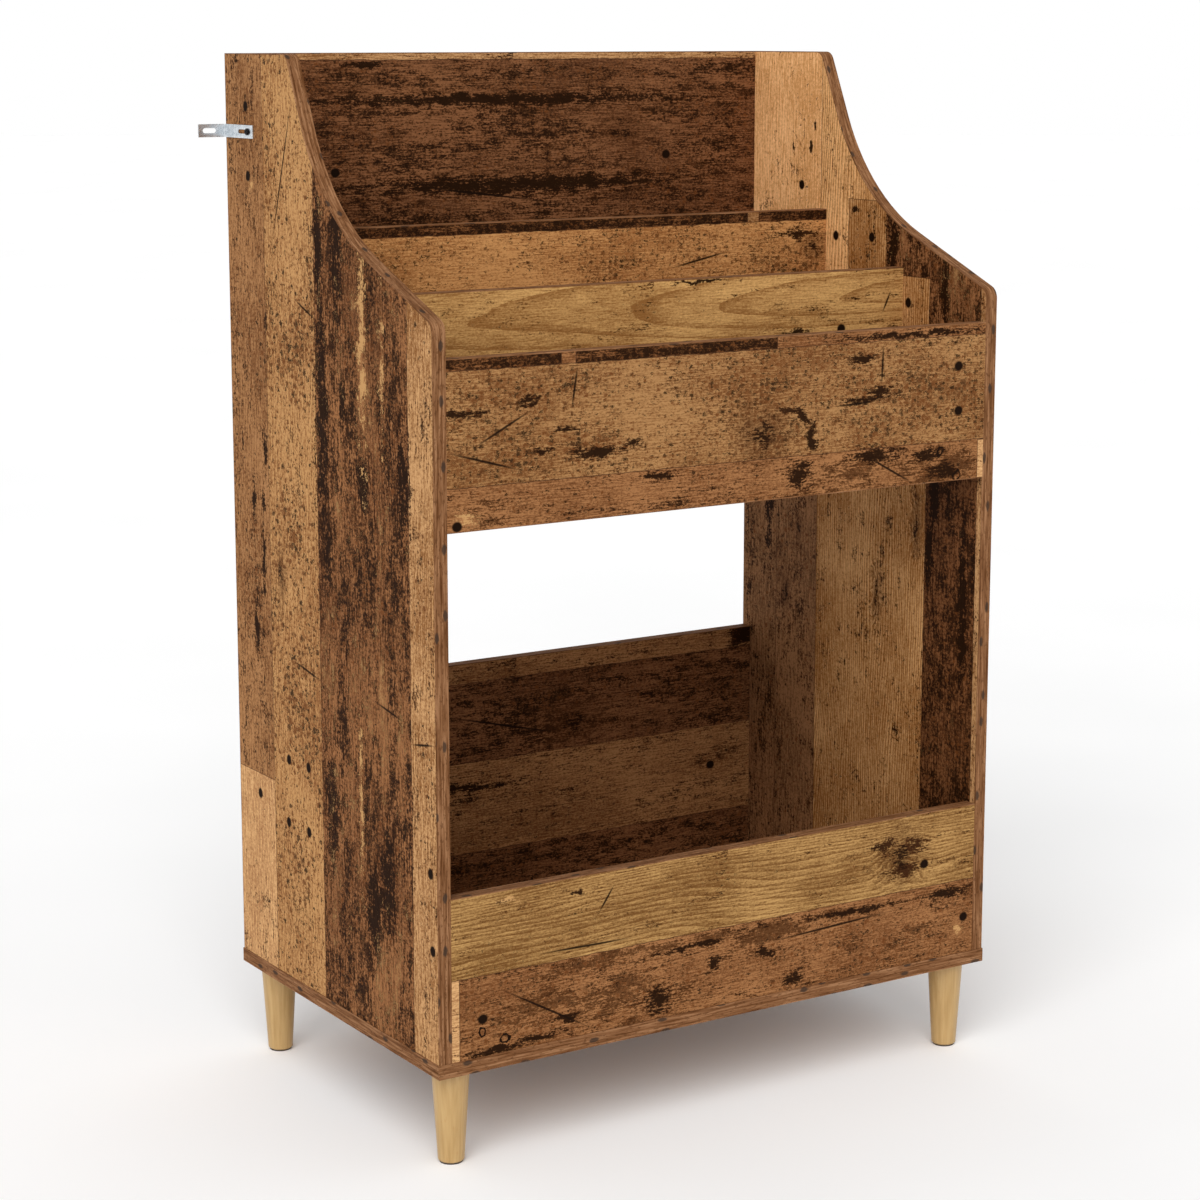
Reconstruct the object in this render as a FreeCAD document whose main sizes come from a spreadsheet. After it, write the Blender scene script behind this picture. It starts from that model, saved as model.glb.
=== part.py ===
"""Media shelf: three stepped record bins over an open lower bin, in banded boards on four turned legs.

Millimetres. The origin is on the floor under the middle of the base, +Z is up and -Y is the front.
"""
import FreeCAD
import Part
import Sketcher
import math
import os
import re

SIZES = [
    # the case
    ("base_width", 710, "base panel, left to right over its bands"),
    ("base_depth", 455, "base panel, front to back over its bands"),
    ("board", 15, "thickness of every board"),
    ("base_overhang", 1, "how far the base stands out past the sides, all round"),
    ("side_height", 1006, "side panel above the base"),
    ("band", 1, "thickness of the edge bands"),
    # the swept front profile of the sides
    ("sweep_drop", 265, "top edge down to the end of the straight front edge"),
    ("sweep_reach", 315, "front edge back to the start of the straight top edge"),
    ("corner_radius", 14, "the two outer corners of the profile"),
    ("sweep_radius", 252, "hollow sweep between the two slopes"),
    ("sweep_share", 0.95, "most of a slope that the hollow sweep may take up"),
    ("shallow_angle", 21.8, "lower slope to the horizontal, in degrees"),
    ("steep_angle", 65.1, "upper slope to the horizontal, in degrees"),
    # the boards between the sides
    ("rail_height", 172, "front panels and dividers over their bands"),
    ("back_height", 300, "both back panels over their bands"),
    ("upper_front_drop", 462, "top of the sides to the lower edge of the upper front panel"),
    ("front_floor_drop", 392, "top of the sides to the top of the front bin floor"),
    ("bin_step", 58.5, "rise from one bin floor to the next"),
    ("divider_drop", 5, "divider's lower edge below the floor in front of it"),
    # dowels and cam fittings
    ("fixing_inset", 36, "centre of the outer fixings from a board's long edges"),
    ("dowel_diameter", 8, "wood dowel"),
    ("dowel_length", 30, "wood dowel"),
    ("dowel_in_side", 11, "depth of a dowel hole in a side panel"),
    ("dowel_in_base", 10, "depth of a dowel hole in the base"),
    ("cam_diameter", 15, "cam lock bore"),
    ("cam_depth", 12, "cam lock bore"),
    ("cam_setback", 24, "cam centre from the end of its board"),
    ("cam_slot_width", 2, "driver cross in the cam's face"),
    ("cam_slot_length", 9, "driver cross in the cam's face"),
    ("cam_slot_depth", 2.5, "driver cross in the cam's face"),
    ("bolt_diameter", 6, "cam bolt shank"),
    ("bolt_in_side", 10.5, "threaded end of a cam bolt in a side panel"),
    ("bolt_neck", 4, "neck of a cam bolt, inside the cam"),
    ("bolt_neck_length", 5, "neck of a cam bolt, inside the cam"),
    ("bolt_head_length", 2.5, "head of a cam bolt, inside the cam"),
    ("fit_clearance", 0.1, "radial clearance of fittings in their holes"),
    # the base joints
    ("confirmat_shoulder", 7, "screw diameter through the base"),
    ("confirmat_core", 5, "screw diameter in the side panel"),
    ("confirmat_length", 50, "screw over its head"),
    ("confirmat_head", 10, "countersunk head diameter"),
    ("confirmat_head_height", 3, "countersunk head"),
    ("confirmat_spread", 140, "outer screws from the middle one"),
    ("base_dowel_spread", 70, "base dowels from the middle screw"),
    # legs and glides
    ("leg_length", 100, "turned leg"),
    ("leg_top_diameter", 40, "turned leg under the base"),
    ("leg_bottom_diameter", 27.5, "turned leg above its glide"),
    ("leg_inset", 30, "leg axis from the base's edges"),
    ("leg_edge", 1.5, "softened edges of the leg's ends"),
    ("hanger_diameter", 8, "hanger bolt"),
    ("hanger_in_leg", 26, "hanger bolt"),
    ("hanger_in_base", 11, "hanger bolt"),
    ("insert_diameter", 12, "insert nut"),
    ("insert_depth", 12, "insert nut"),
    ("glide_diameter", 24.5, "glide disc"),
    ("glide_thickness", 1.5, "glide disc"),
    ("glide_pin_diameter", 2.6, "glide pin"),
    ("glide_pin_length", 12, "glide pin"),
    # wall brackets
    ("strip_height", 14, "bracket strip"),
    ("strip_gauge", 1.5, "bracket strip"),
    ("strip_bend", 1, "inner radius of the bracket's bend"),
    ("side_leg", 69.5, "bracket leg on the side panel"),
    ("wall_leg", 33, "bracket leg on the wall"),
    ("bracket_drop", 82.5, "top of the sides to the bracket's middle"),
    ("wall_slot_length", 16, "slot for the wall screw"),
    ("wall_slot_width", 5.4, "slot for the wall screw"),
    ("wall_slot_centre", 20, "slot from the side panel's face"),
    ("side_slot_length", 28, "slot for the panel screw"),
    ("side_slot_width", 4.4, "slot for the panel screw"),
    ("side_slot_centre", 48.5, "slot from the wall"),
    ("bracket_screw_setback", 57, "panel screw from the wall"),
    ("bracket_screw_diameter", 3.5, "panel screw"),
    ("bracket_screw_depth", 11, "panel screw in the side panel"),
    ("bracket_head_diameter", 7.5, "panel screw head"),
    ("bracket_head_height", 2.4, "panel screw head"),
    ("head_crown_share", 0.7, "raised middle of the panel screw head, of its diameter"),
    ("head_rim_share", 0.6, "rim of the panel screw head, of its height"),
    ("head_slot_share", 0.55, "driver cross in the panel screw head, of its diameter"),
    ("head_slot_width", 1, "driver cross in the panel screw head"),
]

BIN_COUNT = 3

# Places that follow from the sizes, written in their names.
DERIVED = {
    "side_depth": "base_depth - 2 * base_overhang",
    "side_front": "-side_depth / 2",
    "side_face": "base_width / 2 - base_overhang",
    "inner_half": "side_face - board",
    "base_under": "leg_length + glide_thickness",
    "base_top": "base_under + board",
    "shelf_top": "base_top + side_height",
    "board_pitch": f"(side_depth - board) / {BIN_COUNT}",
    "bin_depth": "board_pitch - board",
    "upper_front_rise": "side_height - upper_front_drop",
    "front_floor_rise": "side_height - front_floor_drop",
    "middle_divider_rise": "front_floor_rise - board - divider_drop",
    "rear_divider_rise": "middle_divider_rise + bin_step",
    "upper_back_rise": "side_height - back_height",
    "sweep_turn": "steep_angle - shallow_angle",
    "slope_run": "sweep_reach - corner_radius * (1 + sin(steep_angle) - sin(shallow_angle))",
    "slope_climb": "sweep_drop - corner_radius * (1 + cos(shallow_angle) - cos(steep_angle))",
    "lower_slope": "(slope_run * sin(steep_angle) - slope_climb * cos(steep_angle)) / sin(sweep_turn)",
    "upper_slope": "(slope_climb * cos(shallow_angle) - slope_run * sin(shallow_angle)) / sin(sweep_turn)",
    "sweep_room": "sweep_share * min(lower_slope; upper_slope) / tan(sweep_turn / 2)",
    "hollow_radius": "min(sweep_radius; sweep_room)",
    "leg_along": "base_width / 2 - leg_inset",
    "leg_across": "base_depth / 2 - leg_inset",
    "side_middle": "side_face - board / 2",
    "bracket_height": "shelf_top - bracket_drop",
}

# Rounds are drawn with flat sides: few on small hidden fittings, which repeat, and more on what shows.
FITTING_SIDES = 8
CAM_SIDES = 16
LEG_SIDES = 32

ALIASES = {alias for alias, size, note in SIZES}
X_AXIS = FreeCAD.Vector(1, 0, 0)
Y_AXIS = FreeCAD.Vector(0, 1, 0)
Z_AXIS = FreeCAD.Vector(0, 0, 1)
# A side's sign along X, and the turn about Y that points a fitting from it towards the middle.
LEFT = ("-", 90)
RIGHT = ("", -90)

doc = FreeCAD.newDocument("media_shelf")
sheet = doc.addObject("Spreadsheet::Sheet", "Sizes")
for row, (alias, size, note) in enumerate(SIZES, start=1):
    sheet.set(f"A{row}", alias)
    sheet.set(f"B{row}", str(size))
    sheet.setAlias(f"B{row}", alias)
    sheet.set(f"C{row}", note)
doc.recompute()

pieces = []


def formula(text):
    """The expression for a rule written in the names of sizes and derived places."""

    def expand(match):
        word = match.group(0)
        if word in DERIVED:
            return f"({formula(DERIVED[word])})"
        return f"Sizes.{word}" if word in ALIASES else word

    return re.sub(r"[a-z_]+", expand, str(text))


def value(text):
    """The present value of a rule."""
    return float(sheet.evalExpression(formula(text).replace("Sizes.", "")))


def bind(item, prop, text):
    item.setExpression(prop, formula(text))


def place(item, x="0", y="0", z="0", axis=None, angle=0):
    """Bind where an object sits; an axis and angle turn it first."""
    if axis:
        item.Placement.Rotation = FreeCAD.Rotation(axis, angle)
    bind(item, "Placement.Base.x", x)
    bind(item, "Placement.Base.y", y)
    bind(item, "Placement.Base.z", z)


def keep(item, label):
    """Hand a finished sub-part in under its own name."""
    item.Label = label
    pieces.append(item)
    return item


def new_body(label):
    return doc.addObject("PartDesign::Body", f"{label}_body")


def new_sketch(body, name, plane):
    planes = {feature.Role: feature for feature in body.Origin.OriginFeatures}
    sketch = body.newObject("Sketcher::SketchObject", name)
    sketch.AttachmentSupport = (planes[plane], [""])
    sketch.MapMode = "FlatFace"
    return sketch


def measure(sketch, kind, *args):
    """Add a dimension to a sketch; the last argument is its rule."""
    *parts, text = args
    index = sketch.addConstraint(Sketcher.Constraint(kind, *parts, value(text)))
    bind(sketch, f"Constraints[{index}]", text)


def pin_point(sketch, geometry, point, x, y):
    """Hold a sketch point at x, y from the origin; "0" puts it on an axis."""
    for kind, axis, text in (("DistanceX", -2, x), ("DistanceY", -1, y)):
        if text == "0":
            sketch.addConstraint(Sketcher.Constraint("PointOnObject", geometry, point, axis))
        else:
            measure(sketch, kind, -1, 1, geometry, point, text)


def draw_outline(body, name, plane, corners):
    """A closed outline of straight lines through corners given as rules."""
    sketch = new_sketch(body, name, plane)
    spots = [FreeCAD.Vector(value(x), value(y), 0) for x, y in corners]
    lines = [Part.LineSegment(spots[i - 1], spots[i]) for i in range(len(spots))]
    sketch.addGeometry(lines, False)
    for i, (x, y) in enumerate(corners):
        following = (i + 1) % len(corners)
        sketch.addConstraint(Sketcher.Constraint("Coincident", i, 2, following, 1))
        pin_point(sketch, i, 2, x, y)
    return sketch


def draw_slot(body, name, plane, x, y, length, width):
    """A slot along the sketch's first axis, centred at x, y."""
    sketch = new_sketch(body, name, plane)
    ends = (f"{x} - ({length} - {width}) / 2", f"{x} + ({length} - {width}) / 2")
    radius = value(width) / 2
    left, right = (FreeCAD.Vector(value(end), value(y), 0) for end in ends)
    rise = FreeCAD.Vector(0, radius, 0)
    quarter = math.pi / 2
    sketch.addGeometry(Part.ArcOfCircle(Part.Circle(left, Z_AXIS, radius), quarter, 3 * quarter), False)
    sketch.addGeometry(Part.LineSegment(left - rise, right - rise), False)
    sketch.addGeometry(Part.ArcOfCircle(Part.Circle(right, Z_AXIS, radius), -quarter, quarter), False)
    sketch.addGeometry(Part.LineSegment(right + rise, left + rise), False)
    for first, second in ((0, 1), (1, 2), (2, 3), (3, 0)):
        sketch.addConstraint(Sketcher.Constraint("Tangent", first, 2, second, 1))
    pin_point(sketch, 0, 3, ends[0], y)
    measure(sketch, "DistanceX", -1, 1, 2, 3, ends[1])
    measure(sketch, "Radius", 0, f"{width} / 2")
    return sketch


def pad(body, sketch, length):
    feature = body.newObject("PartDesign::Pad", f"{sketch.Name}_pad")
    feature.Profile = sketch
    bind(feature, "Length", length)
    return feature


def pocket(body, sketch, depth, forward=False):
    """Cut a sketch in, against its plane's normal, or along it when forward."""
    feature = body.newObject("PartDesign::Pocket", f"{sketch.Name}_pocket")
    feature.Profile = sketch
    feature.Reversed = forward
    bind(feature, "Length", depth)
    return feature


def rod(label, diameter, length, sides=FITTING_SIDES):
    """A round along Z from the origin."""
    prism = doc.addObject("Part::Prism", f"{label}_rod")
    prism.Polygon = sides
    bind(prism, "Circumradius", f"({diameter}) / 2")
    bind(prism, "Height", length)
    return prism


def block(label, length, width, height, x, y, z):
    """A box placed by its lowest corner."""
    box = doc.addObject("Part::Box", f"{label}_block")
    bind(box, "Length", length)
    bind(box, "Width", width)
    bind(box, "Height", height)
    place(box, x, y, z)
    return box


def fused(label, solids):
    """Several solids made into one."""
    whole = doc.addObject("Part::MultiFuse", f"{label}_whole")
    whole.Shapes = solids
    return whole


def stacked(label, sections):
    """One round fitting along Z; each section is a diameter, where it starts, its length and its sides."""
    rods = []
    for i, (diameter, start, length, sides) in enumerate(sections):
        section = rod(f"{label}_{i}", diameter, length, sides)
        place(section, z=start)
        rods.append(section)
    return fused(label, rods)


def cross(label, length, width, depth, top):
    """The shape of a driver cross, sunk so deep below a head's top."""
    low = f"{top} - {depth}"
    return fused(label, [
        block(f"{label}_along", length, width, depth, f"-({length}) / 2", f"-({width}) / 2", low),
        block(f"{label}_across", width, length, depth, f"-({width}) / 2", f"-({length}) / 2", low),
    ])


def copies(label, source, spots):
    """Copies of one shape, kept apart; each spot is x, y, z, axis, angle."""
    links = []
    for i, (x, y, z, axis, angle) in enumerate(spots):
        link = doc.addObject("App::Link", f"{label}_{i}_copy")
        link.LinkedObject = source
        place(link, x, y, z, axis, angle)
        links.append(link)
    compound = doc.addObject("Part::Compound", f"{label}_copies")
    compound.Links = links
    return compound


def cut(label, solid, tool):
    carved = doc.addObject("Part::Cut", f"{label}_cut")
    carved.Base = solid
    carved.Tool = tool
    return carved


def drilled(label, solid, holes):
    """A solid with holes; each hole is a drill and the spots where it goes in."""
    for i, (drill, spots) in enumerate(holes):
        solid = cut(f"{label}_{i}", solid, copies(f"{label}_{i}_hole", drill, spots))
    return solid


def mirrored(source, label):
    """The same sub-part on the other side of the shelf's middle plane."""
    mirror = doc.addObject("Part::Mirroring", f"{label}_mirror")
    mirror.Source = source
    mirror.Normal = X_AXIS
    return keep(mirror, label)


def strip(label, length, width, height, x, y, z):
    """A straight edge band, placed by its lowest corner."""
    return keep(block(label, length, width, height, x, y, z), label)


class Board:
    """A board between the sides: where it lies and where its ends are fixed."""

    def __init__(self, label, depth, height, y, z, cams, dowels):
        self.label = label
        self.depth = depth
        self.height = height
        self.y = f"side_front + {y}"
        self.z = f"base_top + {z}"
        self.cams = cams
        self.dowels = dowels

    def end_spots(self, fixings, reach, hands=(LEFT, RIGHT)):
        """Where fittings go through the board's ends, each starting so far out past its end."""
        return [
            (f"{sign}(inner_half + {reach})", f"{self.y} + {y}", f"{self.z} + {z}", Y_AXIS, turn)
            for sign, turn in hands
            for y, z in fixings
        ]

    def cam_spots(self):
        """Where the cams sit: faces flush with the board's back, their ways towards the bolts."""
        spots = []
        for sign, turn in (LEFT, RIGHT):
            facing = FreeCAD.Rotation(Z_AXIS, turn - LEFT[1])
            rotation = FreeCAD.Rotation(X_AXIS, -90).multiply(facing)
            pose = (rotation.Axis, math.degrees(rotation.Angle))
            for y, z in self.cams:
                back = f"{self.y} + {y} + board / 2 - cam_depth"
                spots.append((f"{sign}(inner_half - cam_setback)", back, f"{self.z} + {z}", *pose))
        return spots


class Upright(Board):
    """A standing board, so many pitches back from the front, between its bands."""

    def __init__(self, label, pitches, height, rise, bottom_band, cam_heights, dowel_height):
        self.bottom_band = bottom_band
        low = "band" if bottom_band else "0"
        core = f"{height} - band - {low}"
        cams = [("board / 2", f"{spot} - {low}") for spot in cam_heights]
        dowels = [("board / 2", f"{dowel_height} - {low}")]
        super().__init__(label, "board", core, f"{pitches} * board_pitch", f"{rise} + {low}", cams, dowels)


def rail(label, pitches, rise, bottom_band=True):
    """A front panel or divider, held by a cam below and a dowel above at each end."""
    return Upright(
        label, pitches, "rail_height", rise, bottom_band,
        ["fixing_inset"], "rail_height - fixing_inset",
    )


def back(label, rise, bottom_band=True):
    """A back panel, held by two cams and a dowel between them at each end."""
    return Upright(
        label, BIN_COUNT, "back_height", rise, bottom_band,
        ["fixing_inset", "back_height - fixing_inset"], "back_height / 2",
    )


def bin_floor(label, step):
    """A flat board, so many steps above the front bin, on two dowels at each end."""
    dowels = [("fixing_inset", "board / 2"), ("bin_depth - fixing_inset", "board / 2")]
    rise = f"front_floor_rise - board + {step} * bin_step"
    return Board(label, "bin_depth", "board", f"{step} * board_pitch + board", rise, [], dowels)


UPRIGHTS = [
    rail("lower_front_panel", 0, "0", bottom_band=False),
    rail("upper_front_panel", 0, "upper_front_rise"),
    rail("middle_divider", 1, "middle_divider_rise"),
    rail("rear_divider", 2, "rear_divider_rise"),
    back("upper_back_panel", "upper_back_rise"),
    back("lower_back_panel", "0", bottom_band=False),
]
BOARDS = UPRIGHTS + [
    bin_floor("front_bin_floor", 0),
    bin_floor("middle_bin_floor", 1),
    bin_floor("rear_bin_floor", 2),
]

def base_spots(offsets, z, hands=(LEFT, RIGHT)):
    """Places along the feet of the sides, each so far from their middle."""
    return [(f"{sign}side_middle", offset, z, None, 0) for sign, turn in hands for offset in offsets]


SCREW_OFFSETS = ["-confirmat_spread", "0", "confirmat_spread"]
DOWEL_OFFSETS = ["-base_dowel_spread", "base_dowel_spread"]
BASE_DOWEL_SPOTS = base_spots(DOWEL_OFFSETS, "base_top - dowel_in_base")
FEET = {
    "front_left": ("-leg_along", "-leg_across"),
    "front_right": ("leg_along", "-leg_across"),
    "rear_left": ("-leg_along", "leg_across"),
    "rear_right": ("leg_along", "leg_across"),
}
BRACKET_SCREW_Y = "base_depth / 2 - bracket_screw_setback"


def add_contour(sketch, first, construction, inset):
    """The front, swept and top edges of a side panel, set in from its outer edge.

    Seven pieces in order from the foot: front straight, corner, lower slope, sweep, upper slope,
    corner, top straight.
    """
    corner = value("corner_radius")
    sweep = value("hollow_radius")
    inward = value(inset)
    lean, steep = (math.radians(value(angle)) for angle in ("shallow_angle", "steep_angle"))
    straight_end = value("side_height - sweep_drop")
    front_centre = FreeCAD.Vector(corner, straight_end, 0)
    top_centre = FreeCAD.Vector(value("sweep_reach"), value("side_height") - corner, 0)
    lean_normal = FreeCAD.Vector(-math.sin(lean), math.cos(lean), 0)
    steep_normal = FreeCAD.Vector(-math.sin(steep), math.cos(steep), 0)
    sweep_centre = front_centre + lean_normal * (corner + sweep)
    gap = top_centre + steep_normal * (corner + sweep) - sweep_centre
    run = FreeCAD.Vector(math.cos(lean), math.sin(lean), 0)
    climb = FreeCAD.Vector(math.cos(steep), math.sin(steep), 0)
    along = (gap.x * climb.y - gap.y * climb.x) / (run.x * climb.y - run.y * climb.x)
    sweep_centre = sweep_centre + run * along
    outer = corner - inward
    hollow = sweep + inward
    quarter = math.pi / 2
    points = [
        FreeCAD.Vector(inward, 0, 0),
        FreeCAD.Vector(inward, straight_end, 0),
        front_centre + lean_normal * outer,
        sweep_centre - lean_normal * hollow,
        sweep_centre - steep_normal * hollow,
        top_centre + steep_normal * outer,
        top_centre + Y_AXIS * outer,
        FreeCAD.Vector(value("side_depth"), value("side_height") - inward, 0),
    ]
    arcs = {
        1: (front_centre, outer, quarter + lean, math.pi),
        3: (sweep_centre, hollow, lean - quarter, steep - quarter),
        5: (top_centre, outer, quarter, quarter + steep),
    }
    for i in range(7):
        if i in arcs:
            centre, radius, start, end = arcs[i]
            edge = Part.ArcOfCircle(Part.Circle(centre, Z_AXIS, radius), start, end)
        else:
            edge = Part.LineSegment(points[i], points[i + 1])
        sketch.addGeometry(edge, construction)
    # The outer corners run clockwise, so their arcs join by their second point first.
    enters = {1: 2, 5: 2}
    for i in range(6):
        leave = 1 if i in enters else 2
        sketch.addConstraint(
            Sketcher.Constraint("Tangent", first + i, leave, first + i + 1, enters.get(i + 1, 1))
        )
    sketch.addConstraint(Sketcher.Constraint("Vertical", first))
    sketch.addConstraint(Sketcher.Constraint("Horizontal", first + 6))


def draw_contour(body, name, banded):
    """Outer edge of a side panel and, inside it, the edge of its core; returns the sketch.

    With banded, both are solid lines, closed into a band; without, the outer edge is only a guide.
    """
    sketch = new_sketch(body, name, "YZ_Plane")
    add_contour(sketch, 0, not banded, "0")
    sketch.addConstraint(Sketcher.Constraint("Coincident", 0, 1, -1, 1))
    measure(sketch, "DistanceY", -1, 1, 0, 2, "side_height - sweep_drop")
    for arc, radius in ((1, "corner_radius"), (3, "hollow_radius"), (5, "corner_radius")):
        measure(sketch, "Radius", arc, radius)
    for line, angle in ((2, "shallow_angle"), (4, "steep_angle")):
        lean = math.radians(value(angle))
        index = sketch.addConstraint(Sketcher.Constraint("Angle", -1, 1, line, 1, lean))
        bind(sketch, f"Constraints[{index}]", f"{angle} * 1deg")
    measure(sketch, "DistanceX", -1, 1, 6, 1, "sweep_reach")
    pin_point(sketch, 6, 2, "side_depth", "side_height")
    add_contour(sketch, 7, False, "band")
    inner = ((1, "corner_radius - band"), (3, "hollow_radius + band"), (5, "corner_radius - band"))
    for arc, radius in inner:
        sketch.addConstraint(Sketcher.Constraint("Coincident", 7 + arc, 3, arc, 3))
        measure(sketch, "Radius", 7 + arc, radius)
    sketch.addConstraint(Sketcher.Constraint("PointOnObject", 7, 1, -1))
    measure(sketch, "DistanceX", -1, 1, 13, 2, "side_depth" if banded else "side_depth - band")
    ends = [(0, 1, 7, 1), (6, 2, 13, 2)] if banded else []
    if not banded:
        foot = FreeCAD.Vector(value("side_depth - band"), 0, 0)
        top = FreeCAD.Vector(value("side_depth - band"), value("side_height - band"), 0)
        sketch.addGeometry(Part.LineSegment(top, foot), False)
        sketch.addConstraint(Sketcher.Constraint("Coincident", 13, 2, 14, 1))
        sketch.addConstraint(Sketcher.Constraint("Vertical", 14))
        sketch.addConstraint(Sketcher.Constraint("PointOnObject", 14, 2, -1))
        ends = [(14, 2, 7, 1)]
    for first, first_point, second, second_point in ends:
        start = sketch.getPoint(first, first_point)
        closing = sketch.addGeometry(Part.LineSegment(start, sketch.getPoint(second, second_point)), False)
        sketch.addConstraint(Sketcher.Constraint("Coincident", closing, 1, first, first_point))
        sketch.addConstraint(Sketcher.Constraint("Coincident", closing, 2, second, second_point))
    return sketch


def make_sides(dowel_drill):
    """Side panels, drilled for every fixing, and their bands: the left one, and its mirror image."""
    body = new_body("side_board")
    pad(body, draw_contour(body, "side_core", banded=False), "board")
    place(body, "-side_face", "side_front", "base_top")
    dowels, bolts = base_spots(DOWEL_OFFSETS, "base_top - dowel_in_base", [LEFT]), []
    for board in BOARDS:
        dowels += board.end_spots(board.dowels, "dowel_in_side", [LEFT])
        bolts += board.end_spots(board.cams, "bolt_in_side", [LEFT])
    side = drilled("left_side", body, [
        (dowel_drill, dowels),
        (rod("side_bolt_drill", "bolt_diameter", "bolt_in_side"), bolts),
        (
            rod("side_screw_drill", "confirmat_core", "confirmat_length - board"),
            base_spots(SCREW_OFFSETS, "base_top", [LEFT]),
        ),
        (
            rod("bracket_screw_drill", "bracket_screw_diameter", "bracket_screw_depth"),
            [("-side_face", BRACKET_SCREW_Y, "bracket_height", Y_AXIS, LEFT[1])],
        ),
    ])
    keep(side, "left_side_panel")
    mirrored(side, "right_side_panel")

    band_body = new_body("left_side_contour_band")
    pad(band_body, draw_contour(band_body, "side_band", banded=True), "board")
    place(band_body, "-side_face", "side_front", "base_top")
    keep(band_body, "left_side_contour_band")
    mirrored(band_body, "right_side_contour_band")
    back = strip(
        "left_side_back_band", "board", "band", "side_height - band",
        "-side_face", "side_depth / 2 - band", "base_top",
    )
    mirrored(back, "right_side_back_band")


def make_boards(dowel_drill, cam_drill):
    """The boards between the sides, drilled at both ends and, for their cams, from behind."""
    way = "bolt_diameter + 2 * fit_clearance"
    bolt_drill = rod("board_bolt_drill", way, "cam_setback + bolt_head_length / 2")
    for board in BOARDS:
        size = ("2 * inner_half", board.depth, board.height)
        plain = block(board.label, *size, "-inner_half", board.y, board.z)
        holes = [(dowel_drill, board.end_spots(board.dowels, "dowel_in_side"))]
        if board.cams:
            holes.append((bolt_drill, board.end_spots(board.cams, "0")))
            holes.append((cam_drill, board.cam_spots()))
        keep(drilled(board.label, plain, holes), board.label)


def make_board_bands():
    """Bands on the long edges of the standing boards."""
    length = "2 * inner_half"
    for board in UPRIGHTS:
        top = f"{board.z} + {board.height}"
        strip(f"{board.label}_top_band", length, "board", "band", "-inner_half", board.y, top)
        if board.bottom_band:
            under = f"{board.z} - band"
            strip(f"{board.label}_bottom_band", length, "board", "band", "-inner_half", board.y, under)


def make_base(dowel_drill):
    """Base panel between its bands, drilled for the sides' joints and the legs' insert nuts."""
    left, front = "-base_width / 2", "-base_depth / 2"
    depth = "base_depth - 2 * band"
    size = ("base_width - 2 * band", depth, "board")
    plain = block("base_panel", *size, f"{left} + band", f"{front} + band", "base_under")
    head = "confirmat_head + 2 * fit_clearance"
    shank = "confirmat_shoulder + 2 * fit_clearance"
    screw_drill = stacked("base_screw_drill", [
        (head, "0", "confirmat_head_height", FITTING_SIDES),
        (shank, "0", "board", FITTING_SIDES),
    ])
    panel = drilled("base_panel", plain, [
        (dowel_drill, BASE_DOWEL_SPOTS),
        (screw_drill, base_spots(SCREW_OFFSETS, "base_under")),
        (
            rod("insert_drill", "insert_diameter", "insert_depth"),
            [(x, y, "base_under", None, 0) for x, y in FEET.values()],
        ),
    ])
    keep(panel, "base_panel")
    strip("base_front_band", "base_width", "band", "board", left, front, "base_under")
    strip("base_back_band", "base_width", "band", "board", left, "base_depth / 2 - band", "base_under")
    strip("base_left_band", "band", depth, "board", left, f"{front} + band", "base_under")
    strip("base_right_band", "band", depth, "board", "base_width / 2 - band", f"{front} + band", "base_under")


def make_cam():
    """Cam lock: a drum with a way for the bolt's head from one side and a driver cross in its face."""
    drum = rod("cam_drum", "cam_diameter - 2 * fit_clearance", "cam_depth", CAM_SIDES)
    width = "bolt_diameter + 4 * fit_clearance"
    way = block(
        "cam_way", "cam_diameter / 2 + bolt_head_length", width, width,
        "-cam_diameter / 2", f"-({width}) / 2", f"cam_depth - board / 2 - ({width}) / 2",
    )
    slots = cross("cam_cross", "cam_slot_length", "cam_slot_width", "cam_slot_depth", "cam_depth")
    return cut("cam_lock", cut("cam_drum", drum, way), slots)


def make_fixings():
    """Dowels, cam bolts and cam locks at both ends of the boards, and the base's dowels and screws."""
    dowels, bolts, cams = list(BASE_DOWEL_SPOTS), [], []
    for board in BOARDS:
        dowels += board.end_spots(board.dowels, "dowel_in_side")
        bolts += board.end_spots(board.cams, "bolt_in_side")
        cams += board.cam_spots()
    dowel = rod("dowel", "dowel_diameter - 2 * fit_clearance", "dowel_length")
    neck = "bolt_in_side + cam_setback - bolt_neck_length - bolt_head_length / 2"
    bolt = stacked("cam_bolt", [
        ("bolt_diameter", "0", neck, FITTING_SIDES),
        ("bolt_neck", neck, "bolt_neck_length", FITTING_SIDES),
        ("bolt_diameter", f"{neck} + bolt_neck_length", "bolt_head_length", FITTING_SIDES),
    ])
    screw = stacked("confirmat", [
        ("confirmat_head", "0", "confirmat_head_height", FITTING_SIDES),
        ("confirmat_shoulder", "confirmat_head_height", "board - confirmat_head_height", FITTING_SIDES),
        ("confirmat_core", "board", "confirmat_length - board", FITTING_SIDES),
    ])
    keep(copies("wood_dowels", dowel, dowels), "wood_dowels")
    keep(copies("cam_bolts", bolt, bolts), "cam_bolts")
    keep(copies("cam_locks", make_cam(), cams), "cam_locks")
    keep(copies("confirmat_screws", screw, base_spots(SCREW_OFFSETS, "base_under")), "confirmat_screws")


def flat_faces(shape, upright):
    """The names of a shape's standing faces, or of its lying ones."""
    lying = [abs(face.normalAt(0, 0).z) > 0.5 for face in shape.Faces]
    return [f"Face{i + 1}" for i, flat in enumerate(lying) if flat != upright]


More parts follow.
